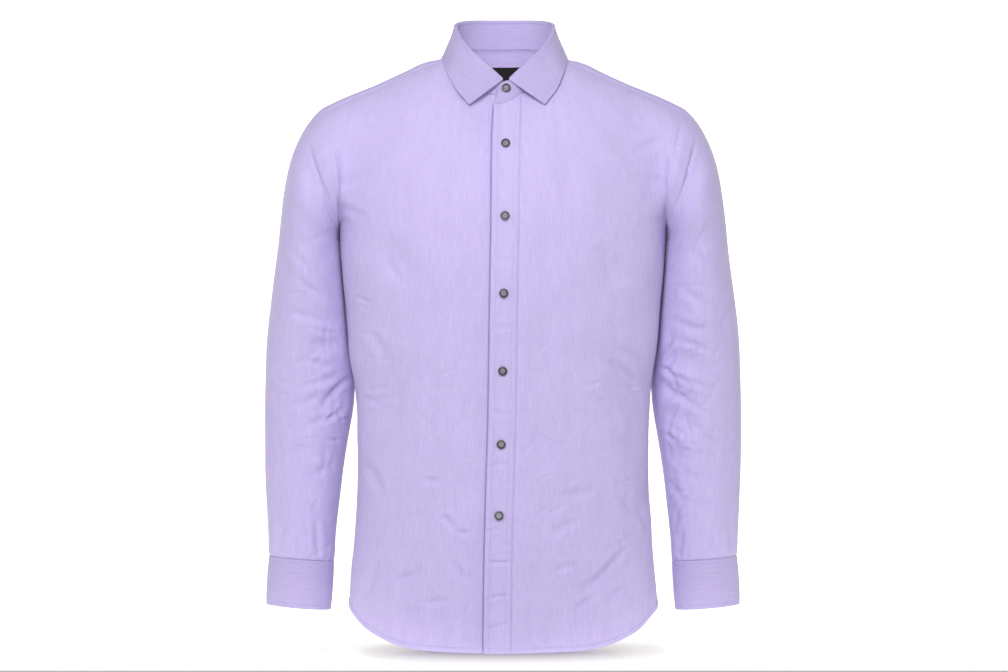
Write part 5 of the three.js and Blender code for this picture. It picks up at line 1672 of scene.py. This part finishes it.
def cut_hole(made, x, y):
    bpy.ops.object.select_all(action="DESELECT")
    bpy.ops.mesh.primitive_cylinder_add(vertices=16, radius=BUTTON.hole * MM, depth=8 * MM,
                                        location=(x, y, 0))
    drill = bpy.context.object
    cut = made.modifiers.new("hole", "BOOLEAN")
    cut.operation = "DIFFERENCE"
    cut.object = drill
    bpy.ops.object.select_all(action="DESELECT")
    bpy.context.view_layer.objects.active = made
    made.select_set(True)
    bpy.ops.object.modifier_apply(modifier=cut.name)
    bpy.data.objects.remove(drill)


def nearest_on(piece, p):
    """The point of a piece nearest to this one, with its outward direction."""
    flat = np.argmin(np.sum((piece.points - p) ** 2, axis=2))
    i, j = np.unravel_index(flat, piece.points.shape[:2])
    return piece.points[i, j], piece.out[i, j]


def standing_on(foot, out, up):
    """The place of a small thing that stands on cloth, with its y axis up along it."""
    side = unit(np.cross(up, out))
    upward = np.cross(out, side)
    return Matrix([[*row, p * MM] for row, p in zip(np.stack([side, upward, out], 1), foot)]
                  + [[0, 0, 0, 1]])


def node_centre(node):
    low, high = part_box(node)
    return np.array((Vector(low) + Vector(high)) / 2) / MM


def sew_on_buttons():
    pattern = model_button()
    threads = []
    spots = [(node, piece, 0.25) for node, piece in FRONT_BUTTONS]
    spots += [("button_collar", stand, 0.25)]
    spots += [(f"cuff_button_{side}", cuffs[side], 0.5) for side in ("left", "right")]
    for node, piece, height in spots:
        foot, out = nearest_on(piece, node_centre(node))
        place = standing_on(foot + out * height, out, point(0, 0, 1))
        made = pattern.copy()
        made.data = pattern.data.copy()
        made.name = f"{node}_resin"
        made.data.name = made.name
        bpy.context.collection.objects.link(made)
        made.data.transform(place)
        finish_piece(made, "button_plastic", node)
        threads.extend(button_threads(place, out))
    bpy.data.objects.remove(pattern)
    holding = stitches("button_threads", threads, BUTTON_THREAD, length=2 * BUTTON.hole_out - 0.2,
                       pitch=50, radius=0.42)
    finish_piece(holding, "shirt_cloth")


def button_threads(place, out):
    """Two bars of thread between a button's holes."""
    bars = []
    height = BUTTON.thick - BUTTON.dish + 0.05
    reach = BUTTON.hole_out + 0.3
    for y in (-BUTTON.hole_out, BUTTON.hole_out):
        ends = [np.array(place @ Vector((x * MM, y * MM, height * MM))) / MM for x in (-reach, reach)]
        bars.append((np.array(ends), np.array([out, out])))
    return bars


sew_on_buttons()


def buttonholes():
    """Satin stitch round a slit under each button: upright on the placket, level on the bands."""
    runs = []
    spots = [(node, piece, point(0, 0, 1)) for node, piece in FRONT_BUTTONS]
    spots += [("button_collar", stand, point(1, 0, 0))]
    for node, piece, lie in spots:
        foot, out = nearest_on(piece, node_centre(node))
        lie = unit(lie - out * np.dot(lie, out))
        across = np.cross(out, lie)
        for side in (-1, 1):
            for place in np.arange(-7.5, 7.6, 0.55):
                start = foot + lie * place + across * side * 0.25 + out * 0.1
                runs.append((np.array([start, start + across * side * 1.5]), np.array([out, out])))
    return stitches("buttonhole_stitches", runs, THREAD, length=1.0, pitch=50, radius=0.3)


finish_piece(buttonholes(), "shirt_cloth")


# Studio

FLOOR_Z = -0.7725
FLOOR_HALF = 6.0
BACKDROP = SimpleNamespace(start=4.0, bend=1.6, top=6.0, steps=12)
SHIRT_MIDDLE = (0, 0, -0.36)
CAMERA = SimpleNamespace(place=(0.0013, -4.0, -0.3604), lens=111.6, sensor=36)


def studio():
    """A pale floor that turns up into a backdrop."""
    profile = [(-FLOOR_HALF, 0)]
    for k in range(BACKDROP.steps + 1):
        angle = math.radians(90 * k / BACKDROP.steps)
        profile.append((BACKDROP.start + BACKDROP.bend * math.sin(angle),
                        BACKDROP.bend * (1 - math.cos(angle))))
    profile.append((BACKDROP.start + BACKDROP.bend, BACKDROP.top))
    vertices = [(x, y, FLOOR_Z + z) for y, z in profile for x in (-FLOOR_HALF, FLOOR_HALF)]
    faces = [(2 * k, 2 * k + 1, 2 * k + 3, 2 * k + 2) for k in range(len(profile) - 1)]
    floor = add_mesh("studio_floor", np.array(vertices) / MM, faces, studio_floor())
    smooth(floor, 60)


def soft_light(name, place, aim, size, watts):
    light = bpy.data.lights.new(name, "AREA")
    light.shape = "RECTANGLE"
    light.size, light.size_y = size
    light.energy = watts
    made = bpy.data.objects.new(name, light)
    made.location = place
    made.rotation_euler = (Vector(aim) - Vector(place)).to_track_quat("-Z", "Y").to_euler()
    bpy.context.collection.objects.link(made)


def lights_and_camera():
    world = bpy.data.worlds.new("studio_air")
    bpy.context.scene.world = world
    world.use_nodes = True
    air = world.node_tree.nodes["Background"].inputs
    air["Color"].default_value = (1, 1, 1, 1)
    air["Strength"].default_value = 0.29
    soft_light("key_softbox", (-0.3, -1.9, 0.9), SHIRT_MIDDLE, (0.8, 0.6), 28.5)
    soft_light("camera_fill", (-0.1, -4.4, 0.0), SHIRT_MIDDLE, (1.2, 0.7), 54)
    soft_light("left_softbox", (-2.6, -1.4, 0.1), SHIRT_MIDDLE, (1.2, 1.6), 7)
    soft_light("right_softbox", (2.6, -1.4, 0.1), SHIRT_MIDDLE, (1.2, 1.6), 11)
    soft_light("neck_lamp", (0, -0.03, -0.13), (0, 0.07, 0.0), (0.08, 0.04), 0.085)
    bpy.context.scene.view_settings.view_transform = "Standard"
    camera = bpy.data.cameras.new("camera")
    camera.sensor_width = CAMERA.sensor
    camera.lens = CAMERA.lens
    made = bpy.data.objects.new("camera", camera)
    made.location = CAMERA.place
    made.rotation_euler = (math.radians(90), 0, 0)
    bpy.context.collection.objects.link(made)
    bpy.context.scene.camera = made


studio()
lights_and_camera()
